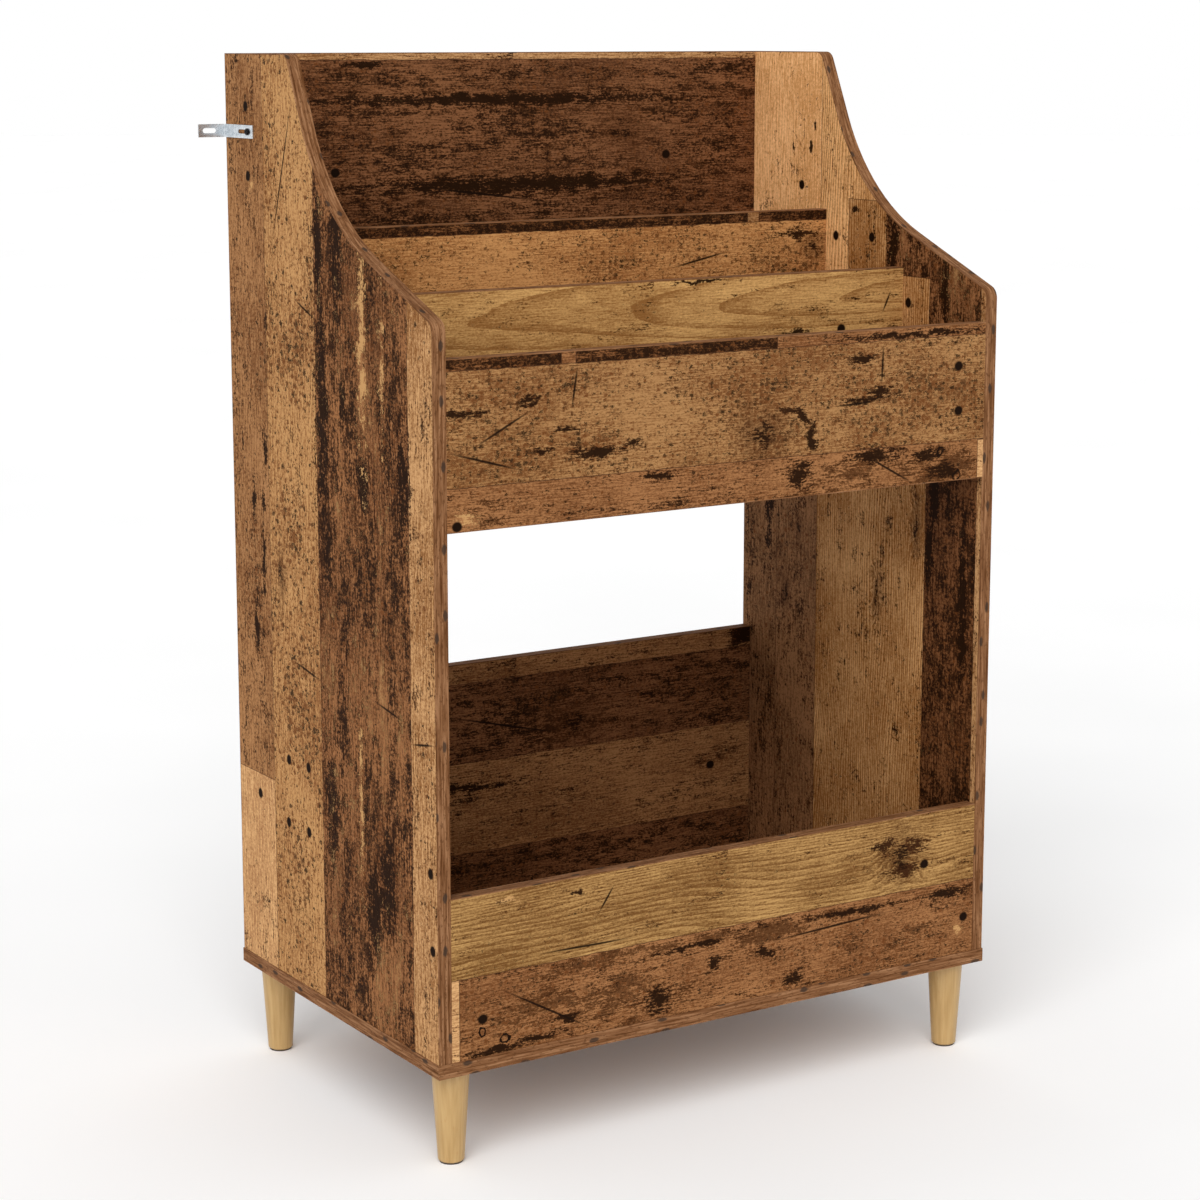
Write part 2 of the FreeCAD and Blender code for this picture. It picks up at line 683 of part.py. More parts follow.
def make_leg():
    """A leg that widens upwards, with softened ends, bored for its hanger bolt and its glide's pin."""
    body = new_body("leg")
    blank = body.newObject("PartDesign::AdditivePrism", "leg_blank")
    blank.Polygon = LEG_SIDES
    bind(blank, "Circumradius", "leg_bottom_diameter / 2")
    bind(blank, "Height", "leg_length")
    doc.recompute()
    taper = body.newObject("PartDesign::Draft", "leg_taper")
    taper.Base = (blank, flat_faces(blank.Shape, upright=True))
    taper.NeutralPlane = (blank, flat_faces(blank.Shape, upright=False)[:1])
    taper.Reversed = True
    flare = f"(leg_top_diameter - leg_bottom_diameter) / 2 * cos(180 / {LEG_SIDES})"
    bind(taper, "Angle", f"atan({flare} / leg_length)")
    doc.recompute()
    ends = body.newObject("PartDesign::Chamfer", "leg_ends")
    ends.Base = (taper, flat_faces(taper.Shape, upright=False))
    bind(ends, "Size", "leg_edge")
    bolt_drill = rod("hanger_drill", "hanger_diameter + 2 * fit_clearance", "hanger_in_leg")
    pin_drill = rod("pin_drill", "glide_pin_diameter + 2 * fit_clearance", "glide_pin_length")
    return drilled("leg", body, [
        (bolt_drill, [("0", "0", "leg_length - hanger_in_leg", None, 0)]),
        (pin_drill, [("0", "0", "0", None, 0)]),
    ])


def make_glide():
    """A thin disc on a pin that goes up into the leg."""
    return stacked("glide", [
        ("glide_diameter", "0", "glide_thickness", LEG_SIDES),
        ("glide_pin_diameter", "glide_thickness", "glide_pin_length", FITTING_SIDES),
    ])


def make_legs():
    """Four tapered legs on hanger bolts and insert nuts, each with a pinned glide."""
    leg = make_leg()
    glide = make_glide()
    for name, (x, y) in FEET.items():
        keep(copies(f"{name}_leg", leg, [(x, y, "glide_thickness", None, 0)]), f"{name}_leg")
        keep(copies(f"{name}_glide", glide, [(x, y, "0", None, 0)]), f"{name}_glide")
    hanger = rod("hanger", "hanger_diameter", "hanger_in_leg + hanger_in_base")
    sleeve = rod("insert", "insert_diameter", "insert_depth")
    thread = rod("insert_thread", "hanger_diameter + 2 * fit_clearance", "insert_depth")
    nut = cut("insert_nut", sleeve, thread)
    bolts = [(x, y, "base_under - hanger_in_leg", None, 0) for x, y in FEET.values()]
    keep(copies("leg_hanger_bolts", hanger, bolts), "leg_hanger_bolts")
    nuts = [(x, y, "base_under", None, 0) for x, y in FEET.values()]
    keep(copies("leg_insert_nuts", nut, nuts), "leg_insert_nuts")


def make_bracket_screw():
    """A raised-head screw along Z, with a driver cross in its head."""
    seat = "bracket_screw_depth + strip_gauge"
    head = "bracket_head_diameter"
    solid = stacked("bracket_screw", [
        ("bracket_screw_diameter", "0", seat, FITTING_SIDES),
        (head, seat, "bracket_head_height * head_rim_share", CAM_SIDES),
        (f"{head} * head_crown_share", seat, "bracket_head_height", CAM_SIDES),
    ])
    top = f"{seat} + bracket_head_height"
    length, depth = f"{head} * head_slot_share", "bracket_head_height / 2"
    slots = cross("head_cross", length, "head_slot_width", depth, top)
    return cut("bracket_screw", solid, slots)


def make_brackets():
    """Bent steel straps that tie the sides to the wall, each held by one screw through its slot."""
    body = new_body("left_wall_bracket")
    corners = [
        ("0", "0"), ("wall_leg", "0"), ("wall_leg", "strip_gauge"),
        ("strip_gauge", "strip_gauge"), ("strip_gauge", "side_leg"), ("0", "side_leg"),
    ]
    pad(body, draw_outline(body, "bracket_outline", "XY_Plane", corners), "strip_height")
    middle = "strip_height / 2"
    wall_slot = draw_slot(
        body, "bracket_wall_slot", "XZ_Plane", "wall_slot_centre", middle,
        "wall_slot_length", "wall_slot_width",
    )
    pocket(body, wall_slot, "strip_gauge")
    side_slot = draw_slot(
        body, "bracket_side_slot", "YZ_Plane", "side_slot_centre", middle,
        "side_slot_length", "side_slot_width",
    )
    slotted = pocket(body, side_slot, "strip_gauge", forward=True)
    doc.recompute()
    bends = (("outer", "0", "strip_bend + strip_gauge"), ("inner", "strip_gauge", "strip_bend"))
    for name, at, radius in bends:
        bend = body.newObject("PartDesign::Fillet", f"bracket_{name}_bend")
        bend.Base = (slotted, [upright_edge(slotted.Shape, value(at))])
        bind(bend, "Radius", radius)
        doc.recompute()
        slotted = bend
    place(body, "-side_face", "base_depth / 2", "bracket_height - strip_height / 2", Z_AXIS, 180)
    keep(body, "left_wall_bracket")
    mirrored(body, "right_wall_bracket")
    spots = [
        (f"{sign}(side_face - bracket_screw_depth)", BRACKET_SCREW_Y, "bracket_height", Y_AXIS, -turn)
        for sign, turn in (LEFT, RIGHT)
    ]
    keep(copies("bracket_screws", make_bracket_screw(), spots), "bracket_screws")


def upright_edge(shape, at):
    """The name of the edge at the corner where the bracket's legs meet, this far from both faces."""

    def miss(edge):
        return max(math.hypot(vertex.X - at, vertex.Y - at) for vertex in edge.Vertexes)

    nearest = min(range(len(shape.Edges)), key=lambda i: miss(shape.Edges[i]))
    return f"Edge{nearest + 1}"


board_dowel_drill = rod("dowel_drill", "dowel_diameter", "dowel_length")
board_cam_drill = rod("cam_drill", "cam_diameter", "cam_depth", CAM_SIDES)
make_base(board_dowel_drill)
make_sides(board_dowel_drill)
make_boards(board_dowel_drill, board_cam_drill)
make_board_bands()
make_fixings()
make_legs()
make_brackets()
doc.recompute()

for item in doc.Objects:
    if "Invalid" in item.State or "Error" in item.State:
        raise RuntimeError(f"{item.Label} failed: {item.State}")
for piece in pieces:
    if piece.Shape.isNull() or not piece.Shape.isValid():
        raise RuntimeError(f"{piece.Label} has no valid shape")

os.makedirs("parts", exist_ok=True)
for piece in pieces:
    piece.Shape.exportStep(f"parts/{piece.Label}.step")
print(f"{len(pieces)} sub-parts written")
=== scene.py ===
"""Media shelf: camera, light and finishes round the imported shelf.

Metres in the shelf's own frame: the origin is on the floor under the middle of the base, +Z is up
and -Y is the front. The old-plank prints are laid out in millimetres.
"""
import math
from collections import namedtuple

import bpy
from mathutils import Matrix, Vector


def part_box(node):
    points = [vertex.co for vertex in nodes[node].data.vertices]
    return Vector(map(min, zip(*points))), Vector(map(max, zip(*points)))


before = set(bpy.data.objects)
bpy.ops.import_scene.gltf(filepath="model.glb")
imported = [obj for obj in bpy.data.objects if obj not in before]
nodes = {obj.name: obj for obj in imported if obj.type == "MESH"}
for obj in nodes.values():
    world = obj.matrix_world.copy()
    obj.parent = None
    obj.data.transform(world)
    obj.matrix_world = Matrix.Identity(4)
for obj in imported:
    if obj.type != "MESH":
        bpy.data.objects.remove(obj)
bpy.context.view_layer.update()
MM = 0.001
X, Y, Z = 0, 1, 2


def tone(code, alpha=1.0):
    """An sRGB hex colour as linear red, green and blue, with an alpha."""
    channels = [int(code[i:i + 2], 16) / 255 for i in (1, 3, 5)]
    linear = [c / 12.92 if c <= 0.04045 else ((c + 0.055) / 1.055) ** 2.4 for c in channels]
    return (*linear, alpha)


def add(tree, kind, sockets=(), stops=(), interpolation="LINEAR", **settings):
    """Add a shader node with its settings and, on a colour ramp, its stops.

    A socket, by name or in order, takes a value or another node's output.
    """
    made = tree.nodes.new(f"ShaderNode{kind}")
    for name, choice in settings.items():
        setattr(made, name, choice)
    for key, source in sockets.items() if isinstance(sockets, dict) else enumerate(sockets):
        if isinstance(source, bpy.types.NodeSocket):
            tree.links.new(source, made.inputs[key])
        else:
            made.inputs[key].default_value = source
    if stops:
        ramp = made.color_ramp
        ramp.interpolation = interpolation
        ramp.elements.remove(ramp.elements[-1])
        ramp.elements[0].position, ramp.elements[0].color = stops[0]
        for place, colour in stops[1:]:
            ramp.elements.new(place).color = colour
    return made.outputs[0] if made.outputs else made


def new_material(name):
    """A material with an empty node tree, and that tree."""
    material = bpy.data.materials.new(name)
    material.use_nodes = True
    material.node_tree.nodes.clear()
    return material, material.node_tree


def dress(names, material):
    """Give CAD nodes one material."""
    for name in names:
        mesh = nodes[name].data
        mesh.materials.clear()
        mesh.materials.append(material)


# A printed plank: its two tones, then how much it shows of worm flecks, weather streaks, growth
# rings, grime and flaked wood, each from 0 to 1.
Plank = namedtuple("Plank", "pale deep flecks streaks rings grime flakes")
PLANKS = {
    "speckled": Plank("#BA8C5A", "#7E502C", 0.70, 0.10, 0.05, 0.30, 0.0),
    "wormed": Plank("#A67B4E", "#6C4222", 0.75, 0.15, 0.05, 0.40, 0.0),
    # A paler copy of wormed: painted light for the rear divider, which lies in shade under the upper
    # bins.
    "wormed_painted_light": Plank("#C8925A", "#8E5A30", 0.62, 0.10, 0.05, 0.35, 0.0),
    "ruddy": Plank("#9C6C44", "#643C20", 0.55, 0.30, 0.00, 0.60, 0.0),
    "honey": Plank("#B88F58", "#6C4824", 0.30, 0.05, 0.64, 0.20, 0.0),
    # A paler copy of honey: painted light for the middle divider, which lies in shade under the upper
    # bins.
    "honey_painted_light": Plank("#D6A768", "#8E6032", 0.22, 0.05, 0.62, 0.15, 0.0),
    "charred": Plank("#7E5230", "#3E2312", 0.50, 1.00, 0.00, 0.60, 0.1),
    "weathered": Plank("#94643E", "#472713", 0.50, 0.68, 0.00, 0.50, 0.5),
    "umber": Plank("#855838", "#462816", 0.50, 0.64, 0.10, 0.55, 0.1),
    "tan": Plank("#C49666", "#7E522C", 0.40, 0.20, 0.20, 0.30, 0.0),
    "brown": Plank("#A4764C", "#6A4224", 0.50, 0.30, 0.10, 0.45, 0.0),
    "straw": Plank("#D4A672", "#A0724A", 0.25, 0.10, 0.25, 0.15, 0.0),
    # A paler plank of the print, made paler still than straw as painted light for the sides' upper inner
    # faces, which lie in shade.
    "straw_painted_light": Plank("#FEC68C", "#C88F56", 0.15, 0.05, 0.40, 0.15, 0.0),
    "ridged": Plank("#D8A770", "#885628", 0.30, 0.20, 0.80, 0.25, 0.0),
    # A dark plank of the print, made darker still than umber as painted shade for the inner faces' strip
    # near the front edge.
    "sooty": Plank("#7A4E2E", "#341C0E", 0.50, 0.78, 0.00, 0.60, 0.2),
    "sawn": Plank("#F6C084", "#A06C38", 0.25, 0.10, 0.80, 0.20, 0.0),
    "russet": Plank("#986C48", "#624228", 0.50, 0.35, 0.10, 0.50, 0.0),
}
JOINT_WIDTH = 1.0
JOINT_INK, STREAK_INK = "#42281A", "#482812"
NAIL_INK, DARK_INK = "#1A0E06", "#201005"
FLECK_INK, GRIME_INK, FLAKE_TONE = "#63381A", "#40230D", "#C0935F"

# A printed sheet, in millimetres: the axes that its planks run along and lie across, its growth rings'
# spacing, its planks in order with their widths, where the first one starts (in metres), how far its
# grain is spread across, and the shorter planks let in. Then come its marks: nail holes, the rings
# round old ones (eyes), knots, arches of grain, burns, sooty places, swarms of worm holes, scratches
# and slivers of bare wood. A mark has its place along and across and, where its kind differs in size,
# its length, width and turn. A scratch has its two ends.
Sheet = namedtuple(
    "Sheet",
    "along across ring_pitch planks start spread patches "
    "nails eyes knots arches burns soots swarms scratches slivers",
    defaults=[0.0, 1.0] + [()] * 10,
)
# A shorter plank: from and to along, from and to across, and its kind.
Patch = namedtuple("Patch", "along_from along_to across_from across_to kind")
NAIL_LENGTH, NAIL_WIDTH = 12.0, 11.0
SCRATCH_WIDTH = 3.0
ARCH_WIDTH = 60.0

side_low, side_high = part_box("left_side_panel")
side_front = side_low.y - MM
side_middle = abs(side_low.x + side_high.x) / 2
# The inner faces of the sides are cut from the same sheet, this far across it.
INNER_FACE = 500.0

BOARD_SHEETS = {
    "upper_front_panel": Sheet(
        X, Z, 4.6,
        [("charred", 12.5), ("wormed", 115.5), ("ruddy", 52)],
        patches=[
            Patch(-207, -190, 0, 12.5, "ruddy"), Patch(58, 345, 0, 12.5, "ruddy"),
            Patch(331, 345, 129, 180, "straw"),
        ],
        nails=[(302, 46), (303, 95), (-328, 166)],
        eyes=[(277, 138), (301, 166)],
        knots=[(40, 102, 40, 36)],
        burns=[
            (240, 8, 180, 6), (89, 148, 26, 26), (-93, 134, 30, 10), (-165, 104, 50, 12),
            (92, 88, 28, 9, 0.9), (104, 110, 26, 10, 1.5), (74, 80, 24, 6, 0.2), (-204, 79, 24, 7),
            (-230, 97, 20, 8), (-322, 54, 44, 9), (178, 74, 60, 6), (190, 136, 60, 14),
            (262, 140, 40, 10), (-120, 98, 22, 8), (-246, 46, 22, 7), (196, 66, 26, 9),
            (284, 160, 30, 16), (170, 30, 40, 8),
        ],
        soots=[(215, 152, 280, 50), (200, 168, 300, 16)],
        swarms=[
            (70, 105, 140, 70), (180, 55, 120, 70), (-300, 50, 90, 60), (-160, 104, 110, 40),
            (240, 80, 280, 140), (-200, 40, 100, 50), (-20, 60, 120, 50), (-250, 100, 60, 40),
        ],
        scratches=[
            (-338, 92, -252, 116), (-310, 90, -240, 55), (-195, 58, -188, 15), (196, 60, 198, 16),
            (134, 79, 190, 77), (176, 135, 241, 170),
        ],
        slivers=[(-318, 160, 24, 12)],
    ),
    "lower_front_panel": Sheet(
        X, Z, 4.8,
        [("honey", 86), ("ruddy", 95)],
        patches=[Patch(-345, -330, 86, 180, "straw")],
        nails=[(268, 59), (326, 130), (-303, 132)],
        eyes=[(-303, 146), (-277, 159)],
        knots=[(237, 46, 34, 38)],
        burns=[
            (-89, 153, 26, 28), (-203, 149, 24, 10), (-17, 123, 14, 18, 0.6), (50, 123, 28, 9),
            (89, 160, 24, 14), (-290, 168, 60, 8), (170, 98, 120, 6), (-40, 100, 90, 5),
            (300, 98, 60, 10), (-240, 163, 50, 8), (-188, 17, 14, 6), (-277, 13, 20, 5),
            (214, 30, 40, 10), (238, 62, 44, 12), (250, 36, 26, 16),
        ],
        soots=[(-130, 132, 330, 70), (300, 100, 90, 18), (-40, 98, 520, 26)],
        swarms=[
            (-120, 130, 200, 70), (-260, 150, 120, 60), (120, 120, 220, 50), (300, 110, 90, 50),
            (237, 46, 80, 80), (60, 160, 120, 30), (260, 140, 120, 40),
        ],
        scratches=[
            (-282, 104, -171, 167), (56, 113, 223, 106), (-235, 75, -122, 77), (-163, 43, -144, 16),
        ],
        slivers=[(318, 143, 10, 12), (-272, 12, 30, 8)],
    ),
    "middle_divider": Sheet(
        X, Z, 9,
        # Its plank is a copy of honey painted paler: painted light, as the divider lies in shade.
        [("honey_painted_light", 180)],
        nails=[(252, 65)],
        arches=[(573, 28, 1140, ARCH_WIDTH)],
        burns=[(60, 4, 60, 4), (150, 128, 40, 6), (192, 66, 30, 6)],
        swarms=[(120, 140, 200, 30)],
        scratches=[(322, 25, 310, 50)],
    ),
    "rear_divider": Sheet(
        X, Z, 4.6,
        # Its main plank is a copy of wormed painted paler: painted light, as the divider lies in shade.
        [("charred", 12), ("wormed_painted_light", 168)],
        patches=[Patch(226, 242, 0, 12, "tan")],
        nails=[(305, 95)],
        knots=[(322, 42, 22, 22)],
        burns=[(300, 28, 60, 8)],
        swarms=[(290, 60, 140, 90), (160, 40, 120, 40)],
        scratches=[(120, 60, 200, 44)],
    ),
    "upper_back_panel": Sheet(
        X, Z, 4.6,
        [("tan", 8), ("umber", 184), ("umber", 112)],
        nails=[(-230, 131), (210, 120)],
        knots=[(150, 90, 40, 30)],
        burns=[(-24, 53, 500, 14), (0, 150, 420, 20), (-190, 13, 60, 6)],
        scratches=[(-120, 150, 40, 170)],
    ),
    "lower_back_panel": Sheet(
        X, Z, 4.6,
        [("brown", 24), ("umber", 96), ("brown", 110), ("umber", 80)],
        # The corner at the right end of its top, next to the right side, is drawn black by this patch
        # and by the last mark below.
        patches=[Patch(312, 345, 0, 20, "charred")],
        nails=[(-290, 60), (280, 170)],
        knots=[(80, 90, 50, 30)],
        # The last mark draws the top right corner, next to the right side, dark.
        burns=[(-120, 150, 200, 12), (328, 9, 40, 30)],
        scratches=[(-100, 60, 60, 100)],
    ),
}

# Each pattern of the print is a noise: its length and width in millimetres, detail and roughness.
# The real print's fibres are too fine to show, so they are drawn coarser.
PATTERNS = {
    "fibre": (26, 1.6, 4.0, 0.75),
    "grit": (3.6, 2.0, 3.0, 0.75),
    "rub": (22, 9, 6.0, 0.72),
    "cloud": (170, 70, 3.0, 0.5),
    "stain": (95, 38, 5.0, 0.6),
    "streak": (150, 20, 6.0, 0.7),
    "swing": (560, 58, 2.0, 0.4),
}
# Most of a noise lies between these two values, and its colours lie round the middle one.
NOISE_LOW, NOISE_HIGH = 0.3, 0.7
NOISE_MIDDLE = (0.5, 0.5, 0.5)
# The embossed pores are too fine to show as well, and are drawn coarser.
PORE_LENGTH, PORE_WIDTH, PORE_DEPTH = 14.0, 1.3, 0.3
PORE_DETAIL, PORE_STRENGTH = 2.0, 0.3

# The planks' edges stray by this much, and marks' outlines are shaken, in waves of this length.
EDGE_STRAY, SHAKE = 0.5, 12.0
WANDER, WANDER_DETAIL = 16.0, 3.0

# Worm holes and pepper lie in cells, one to a cell: the cells' lengths and widths in millimetres, how
# far a cell is jolted, and a hole's greatest radius as a share of its cell.
FLECKS = [(8.0, 5.0), (3.6, 2.6)]
FLECK_JOLT = 9.0
FLECK_RADIUS_SHARE = 0.55

# How far growth rings swing, without and with arches, shiver, and swell round a knot, in millimetres.
RING_SWING, ARCH_SWING = 52.0, 18.0
RING_SHIVER, KNOT_SWELL = 1.2, 14.0
# Rings that stand wider apart than this are thin lines on plain wood.
RING_LINE = 2.8

# Planks are cut from a stretch of grain this long and broad in metres, each this share further on.
GRAIN_LENGTH, GRAIN_BREADTH = 9.0, 4.0
GRAIN_STEP_SHARE = 0.74

# How far a pattern takes the wood from its pale tone towards its deep one, at its least and its most.
DEEPENING = {"cloud": (0.0, 0.6), "fibre": (-0.55, 0.80), "grit": (-0.45, 0.55)}

# Dark edges are torn by rubbing, and by these shares of fibre and grit; their sum lies round the middle.
TEAR_FIBRE_SHARE, TEAR_GRIT_SHARE, TEAR_MIDDLE = 0.6, 0.8, 1.2
# How far that tears each kind of patch, and how far a plank's own habit brings the patch out.
TORN = {"grime": 0.8, "streak": 1.1, "burn": -3.4, "knot": -3.4, "flake": 0.8, "sliver": -4.5}
BROUGHT_OUT = {"grime": 0.3, "streak": 0.5, "flake": 0.25}
FLAKE_LEVEL = 0.75

# How each part of the print fades: from and to on its own scale, and its strength at those two ends.
FADES = {
    "knot_swell": (0.0, 3.0, 1.0, 0.0),
    "quiet_fibre": (0.0, 1.0, 1.0, 0.35),
    "soot": (0.3, 1.2, 0.2, 0.0),
    "grime": (0.80, 0.90, 0.0, 0.8),
    "brown_streak": (0.74, 0.86, 0.0, 0.7),
    "dark_streak": (0.86, 0.96, 0.0, 0.92),
    "fleck_cloud": (NOISE_LOW, NOISE_HIGH, -0.2, 0.2),
    "swarm": (0.0, 1.2, 0.3, 0.0),
    # A painted highlight: a pale rim round each worm hole.
    "painted_highlight_rim": (-0.16, -0.05, 0.0, 0.35),
    "fleck": (-0.03, 0.04, 0.0, 0.9),
    "dark_fleck": (0.45, 0.75, 0.0, 1.0),
    "burn_rim": (1.05, 1.45, 0.65, 0.0),
    "burn_heart": (0.85, 1.05, 0.94, 0.0),
    "knot_rim": (0.5, 2.6, 0.65, 0.0),
    "knot_heart": (0.3, 0.5, 0.94, 0.0),
    "flake": (0.56, 0.66, 0.0, 1.0),
    "sliver": (0.3, 0.6, 0.9, 0.0),
    "nail": (0.8, 1.1, 1.0, 0.0),
    "scratch": (0.5, 1.1, 0.95, 0.0),
    "roughness": (0.2, 0.8, 0.55, 0.75),
}
JOINT_STRENGTH = 0.7
# The ring round an old nail hole: its radius and half its width, as shares of the hole's own.
EYE_RADIUS_SHARE, EYE_WIDTH_SHARE = 0.8, 0.18
MELAMINE_IOR, MELAMINE_SPECULAR = 1.48, 0.03

# What the layers of a print work with: the node tree, the sheet, the plank at each place, that plank's
# own stretch of grain, the patterns drawn on it, how far off the marks are, and what tears dark edges.
Work = namedtuple("Work", "tree sheet plank own drawn off tear")


def on_sheet(tree, sheet, place):
    """Coordinates along and across a printed sheet, and through the board, from the shelf's own."""
    through = 3 - sheet.along - sheet.across
    axes = add(tree, "SeparateXYZ", (place,)).node.outputs
    laid = add(tree, "CombineXYZ", (axes[sheet.along], axes[sheet.across], axes[through]))
    # Front, back and divider boards are laid out down from their top edge, the others from the front.
    direction = -1 if sheet.across == Z else 1
    start = (0, -direction * sheet.start, 0)
    return add(tree, "Mapping", {"Vector": laid, "Location": start, "Scale": (1, direction, 1)})


def laid_planks(tree, sheet, along, edge):
    """The tones and habits of the plank that lies at a place on the sheet, and the joints round it."""
    # Planks are numbered from the sheet's start, and the shorter ones let in follow.
    number, joint, reach = 0.0, 0.0, 0.0
    for _, width in sheet.planks[:-1]:
        reach += width
        passed = add(tree, "Math", (edge, reach * MM), operation="GREATER_THAN")
        number = add(tree, "Math", (number, passed), operation="ADD")
        seam = add(tree, "Math", (edge, reach * MM, JOINT_WIDTH / 2 * MM), operation="COMPARE")
        joint = add(tree, "Math", (joint, seam), operation="MAXIMUM")
    here = add(tree, "CombineXYZ", (along, edge))
    for i, patch in enumerate(sheet.patches, start=len(sheet.planks)):
        first = Vector((patch.along_from, patch.across_from, 0)) * MM
        last = Vector((patch.along_to, patch.across_to, 0)) * MM
        strayed = add(tree, "VectorMath", (here, (first + last) / 2), operation="SUBTRACT")
        strayed = add(tree, "VectorMath", (strayed,), operation="ABSOLUTE")
        room = add(tree, "VectorMath", ((last - first) / 2, strayed), operation="SUBTRACT")
        rooms = add(tree, "SeparateXYZ", (room,)).node.outputs
        inside = add(tree, "Math", (rooms[0], rooms[1]), operation="MINIMUM")
        covers = add(tree, "Math", (inside, 0.0), operation="GREATER_THAN")
        step = add(tree, "Math", (i, number), operation="SUBTRACT")
        number = add(tree, "Math", (covers, step, number), operation="MULTIPLY_ADD")
        joint = add(tree, "Math", (joint, covers), operation="SUBTRACT", use_clamp=True)
        seam = add(tree, "Math", (inside, 0.0, JOINT_WIDTH / 2 * MM), operation="COMPARE")
        joint = add(tree, "Math", (joint, seam), operation="MAXIMUM")
    kinds = [kind for kind, _ in sheet.planks] + [patch.kind for patch in sheet.patches]
    count = len(kinds)
    share = add(tree, "Math", (number, 1 / count, 0.5 / count), operation="MULTIPLY_ADD")
    pale_stops, deep_stops, habit_stops = [], [], []
    for i, kind in enumerate(kinds):
        plank = PLANKS[kind]
        luck = (i * GRAIN_STEP_SHARE) % 1.0
        pale_stops.append((i / count, tone(plank.pale, luck)))
        deep_stops.append((i / count, tone(plank.deep, plank.grime)))
        habit_stops.append((i / count, (plank.flecks, plank.streaks, plank.rings, plank.flakes)))
    pale = add(tree, "ValToRGB", (share,), stops=pale_stops, interpolation="CONSTANT")
    deep = add(tree, "ValToRGB", (share,), stops=deep_stops, interpolation="CONSTANT")
    habit = add(tree, "ValToRGB", (share,), stops=habit_stops, interpolation="CONSTANT")
    flecked, streaked, ringed = add(tree, "SeparateColor", (habit,)).node.outputs
    return {
        "pale": pale,
        "luck": pale.node.outputs["Alpha"],
        "deep": deep,
        "grimed": deep.node.outputs["Alpha"],
        "flecked": flecked,
        "streaked": streaked,
        "ringed": ringed,
        "flaked": habit.node.outputs["Alpha"],
        "joint": joint,
    }


def mark_distances(tree, sheet, flat, wander):
    """How far off the nearest mark of each kind is, as a share of that mark's own half size."""
    level = add(tree, "VectorMath", (flat, (1, 1, 0)), operation="MULTIPLY")
    wave = wander.node.outputs["Color"]
    shaken = add(tree, "VectorMath", (wave, NOISE_MIDDLE), operation="SUBTRACT")
    reach = (SHAKE * MM, SHAKE * MM, 0)
    inked = add(tree, "VectorMath", (shaken, reach, level), operation="MULTIPLY_ADD")
    marks = {
        "nail": [(*nail, NAIL_LENGTH, NAIL_WIDTH) for nail in sheet.nails],
        "eye": [(*eye, NAIL_LENGTH, NAIL_WIDTH) for eye in sheet.eyes],
        "knot": sheet.knots,
        "arch": sheet.arches,
        "burn": sheet.burns,
        "soot": sheet.soots,
        "swarm": sheet.swarms,
        "sliver": sheet.slivers,
        "scratch": [],
    }
    for a, c, b, d in sheet.scratches:
        length, turn = math.hypot(b - a, d - c), math.atan2(d - c, b - a)
        marks["scratch"].append(((a + b) / 2, (c + d) / 2, length, SCRATCH_WIDTH, turn))
    off = {}
    for kind, places in marks.items():
        for a, c, length, width, *turn in places:
            local = add(tree, "Mapping", {
                "Vector": level if kind in ("nail", "arch", "scratch") else inked,
                "Location": (a * MM, c * MM, 0),
                "Rotation": (0, 0, sum(turn)),
                "Scale": (length / 2 * MM, width / 2 * MM, 1),
            }, vector_type="TEXTURE")
            away = add(tree, "VectorMath", (local,), operation="LENGTH").node.outputs["Value"]
            if kind in off:
                away = add(tree, "Math", (off[kind], away), operation="MINIMUM")
            off[kind] = away
    return off


def drawn_patterns(tree, patterns, spot, spread=1.0):
    """Noises stretched to their patterns' sizes along and across a print."""
    drawn = {}
    for pattern, (length, width, detail, roughness) in patterns.items():
        stretch = (1 / (length * MM), 1 / (width * spread * MM), 1)
        place = add(tree, "Mapping", {"Vector": spot, "Scale": stretch})
        sockets = {"Vector": place, "Scale": 1.0, "Detail": detail, "Roughness": roughness}
        drawn[pattern] = add(tree, "TexNoise", sockets, noise_dimensions="2D")
    return drawn


def growth_rings(work, across):
    """Growth rings: each darkens slowly and ends sharply.

    They swing along the plank, bend into arches where the sheet has any, and swell round a knot.
    """
    tree, drawn, off = work.tree, work.drawn, work.off
    crossed, swing = across, RING_SWING
    if "arch" in off:
        crossed = add(tree, "Math", (off["arch"], ARCH_WIDTH / 2 * MM), operation="MULTIPLY")
        swing = ARCH_SWING
    swung = add(tree, "Math", (drawn["swing"], swing * MM, crossed), operation="MULTIPLY_ADD")
    if "knot" in off:
        sockets = (off["knot"], *FADES["knot_swell"])
        swell = add(tree, "MapRange", sockets, interpolation_type="SMOOTHSTEP")
        swung = add(tree, "Math", (swell, KNOT_SWELL * MM, swung), operation="MULTIPLY_ADD")
    ring_pitch = work.sheet.ring_pitch
    turns = add(tree, "Math", (swung, ring_pitch * MM), operation="DIVIDE")
    turns = add(tree, "Math", (drawn["rub"], RING_SHIVER / ring_pitch, turns), operation="MULTIPLY_ADD")
    ring = add(tree, "Math", (turns,), operation="FRACT")
    return add(tree, "Math", (ring, ring_pitch / RING_LINE), operation="POWER")


def bare_wood(work, across):
    """The wood itself, from its pale tone to its deep one."""
    tree, plank = work.tree, work.plank
    ring = growth_rings(work, across)
    ring = add(tree, "Math", (ring, plank["ringed"]), operation="MULTIPLY")
    drift, grain, grit = (
        add(tree, "MapRange", (work.drawn[pattern], NOISE_LOW, NOISE_HIGH, *DEEPENING[pattern]))
        for pattern in ("cloud", "fibre", "grit")
    )
    texture = add(tree, "Math", (grain, grit), operation="ADD")
    # Where rings show, the fibre between them is quieter.
    quiet = add(tree, "MapRange", (plank["ringed"], *FADES["quiet_fibre"]))
    deepening = add(tree, "Math", (texture, quiet, drift), operation="MULTIPLY_ADD")
    deepening = add(tree, "Math", (deepening, ring), operation="ADD", use_clamp=True)
    return add(tree, "MixRGB", (deepening, plank["pale"], plank["deep"]))


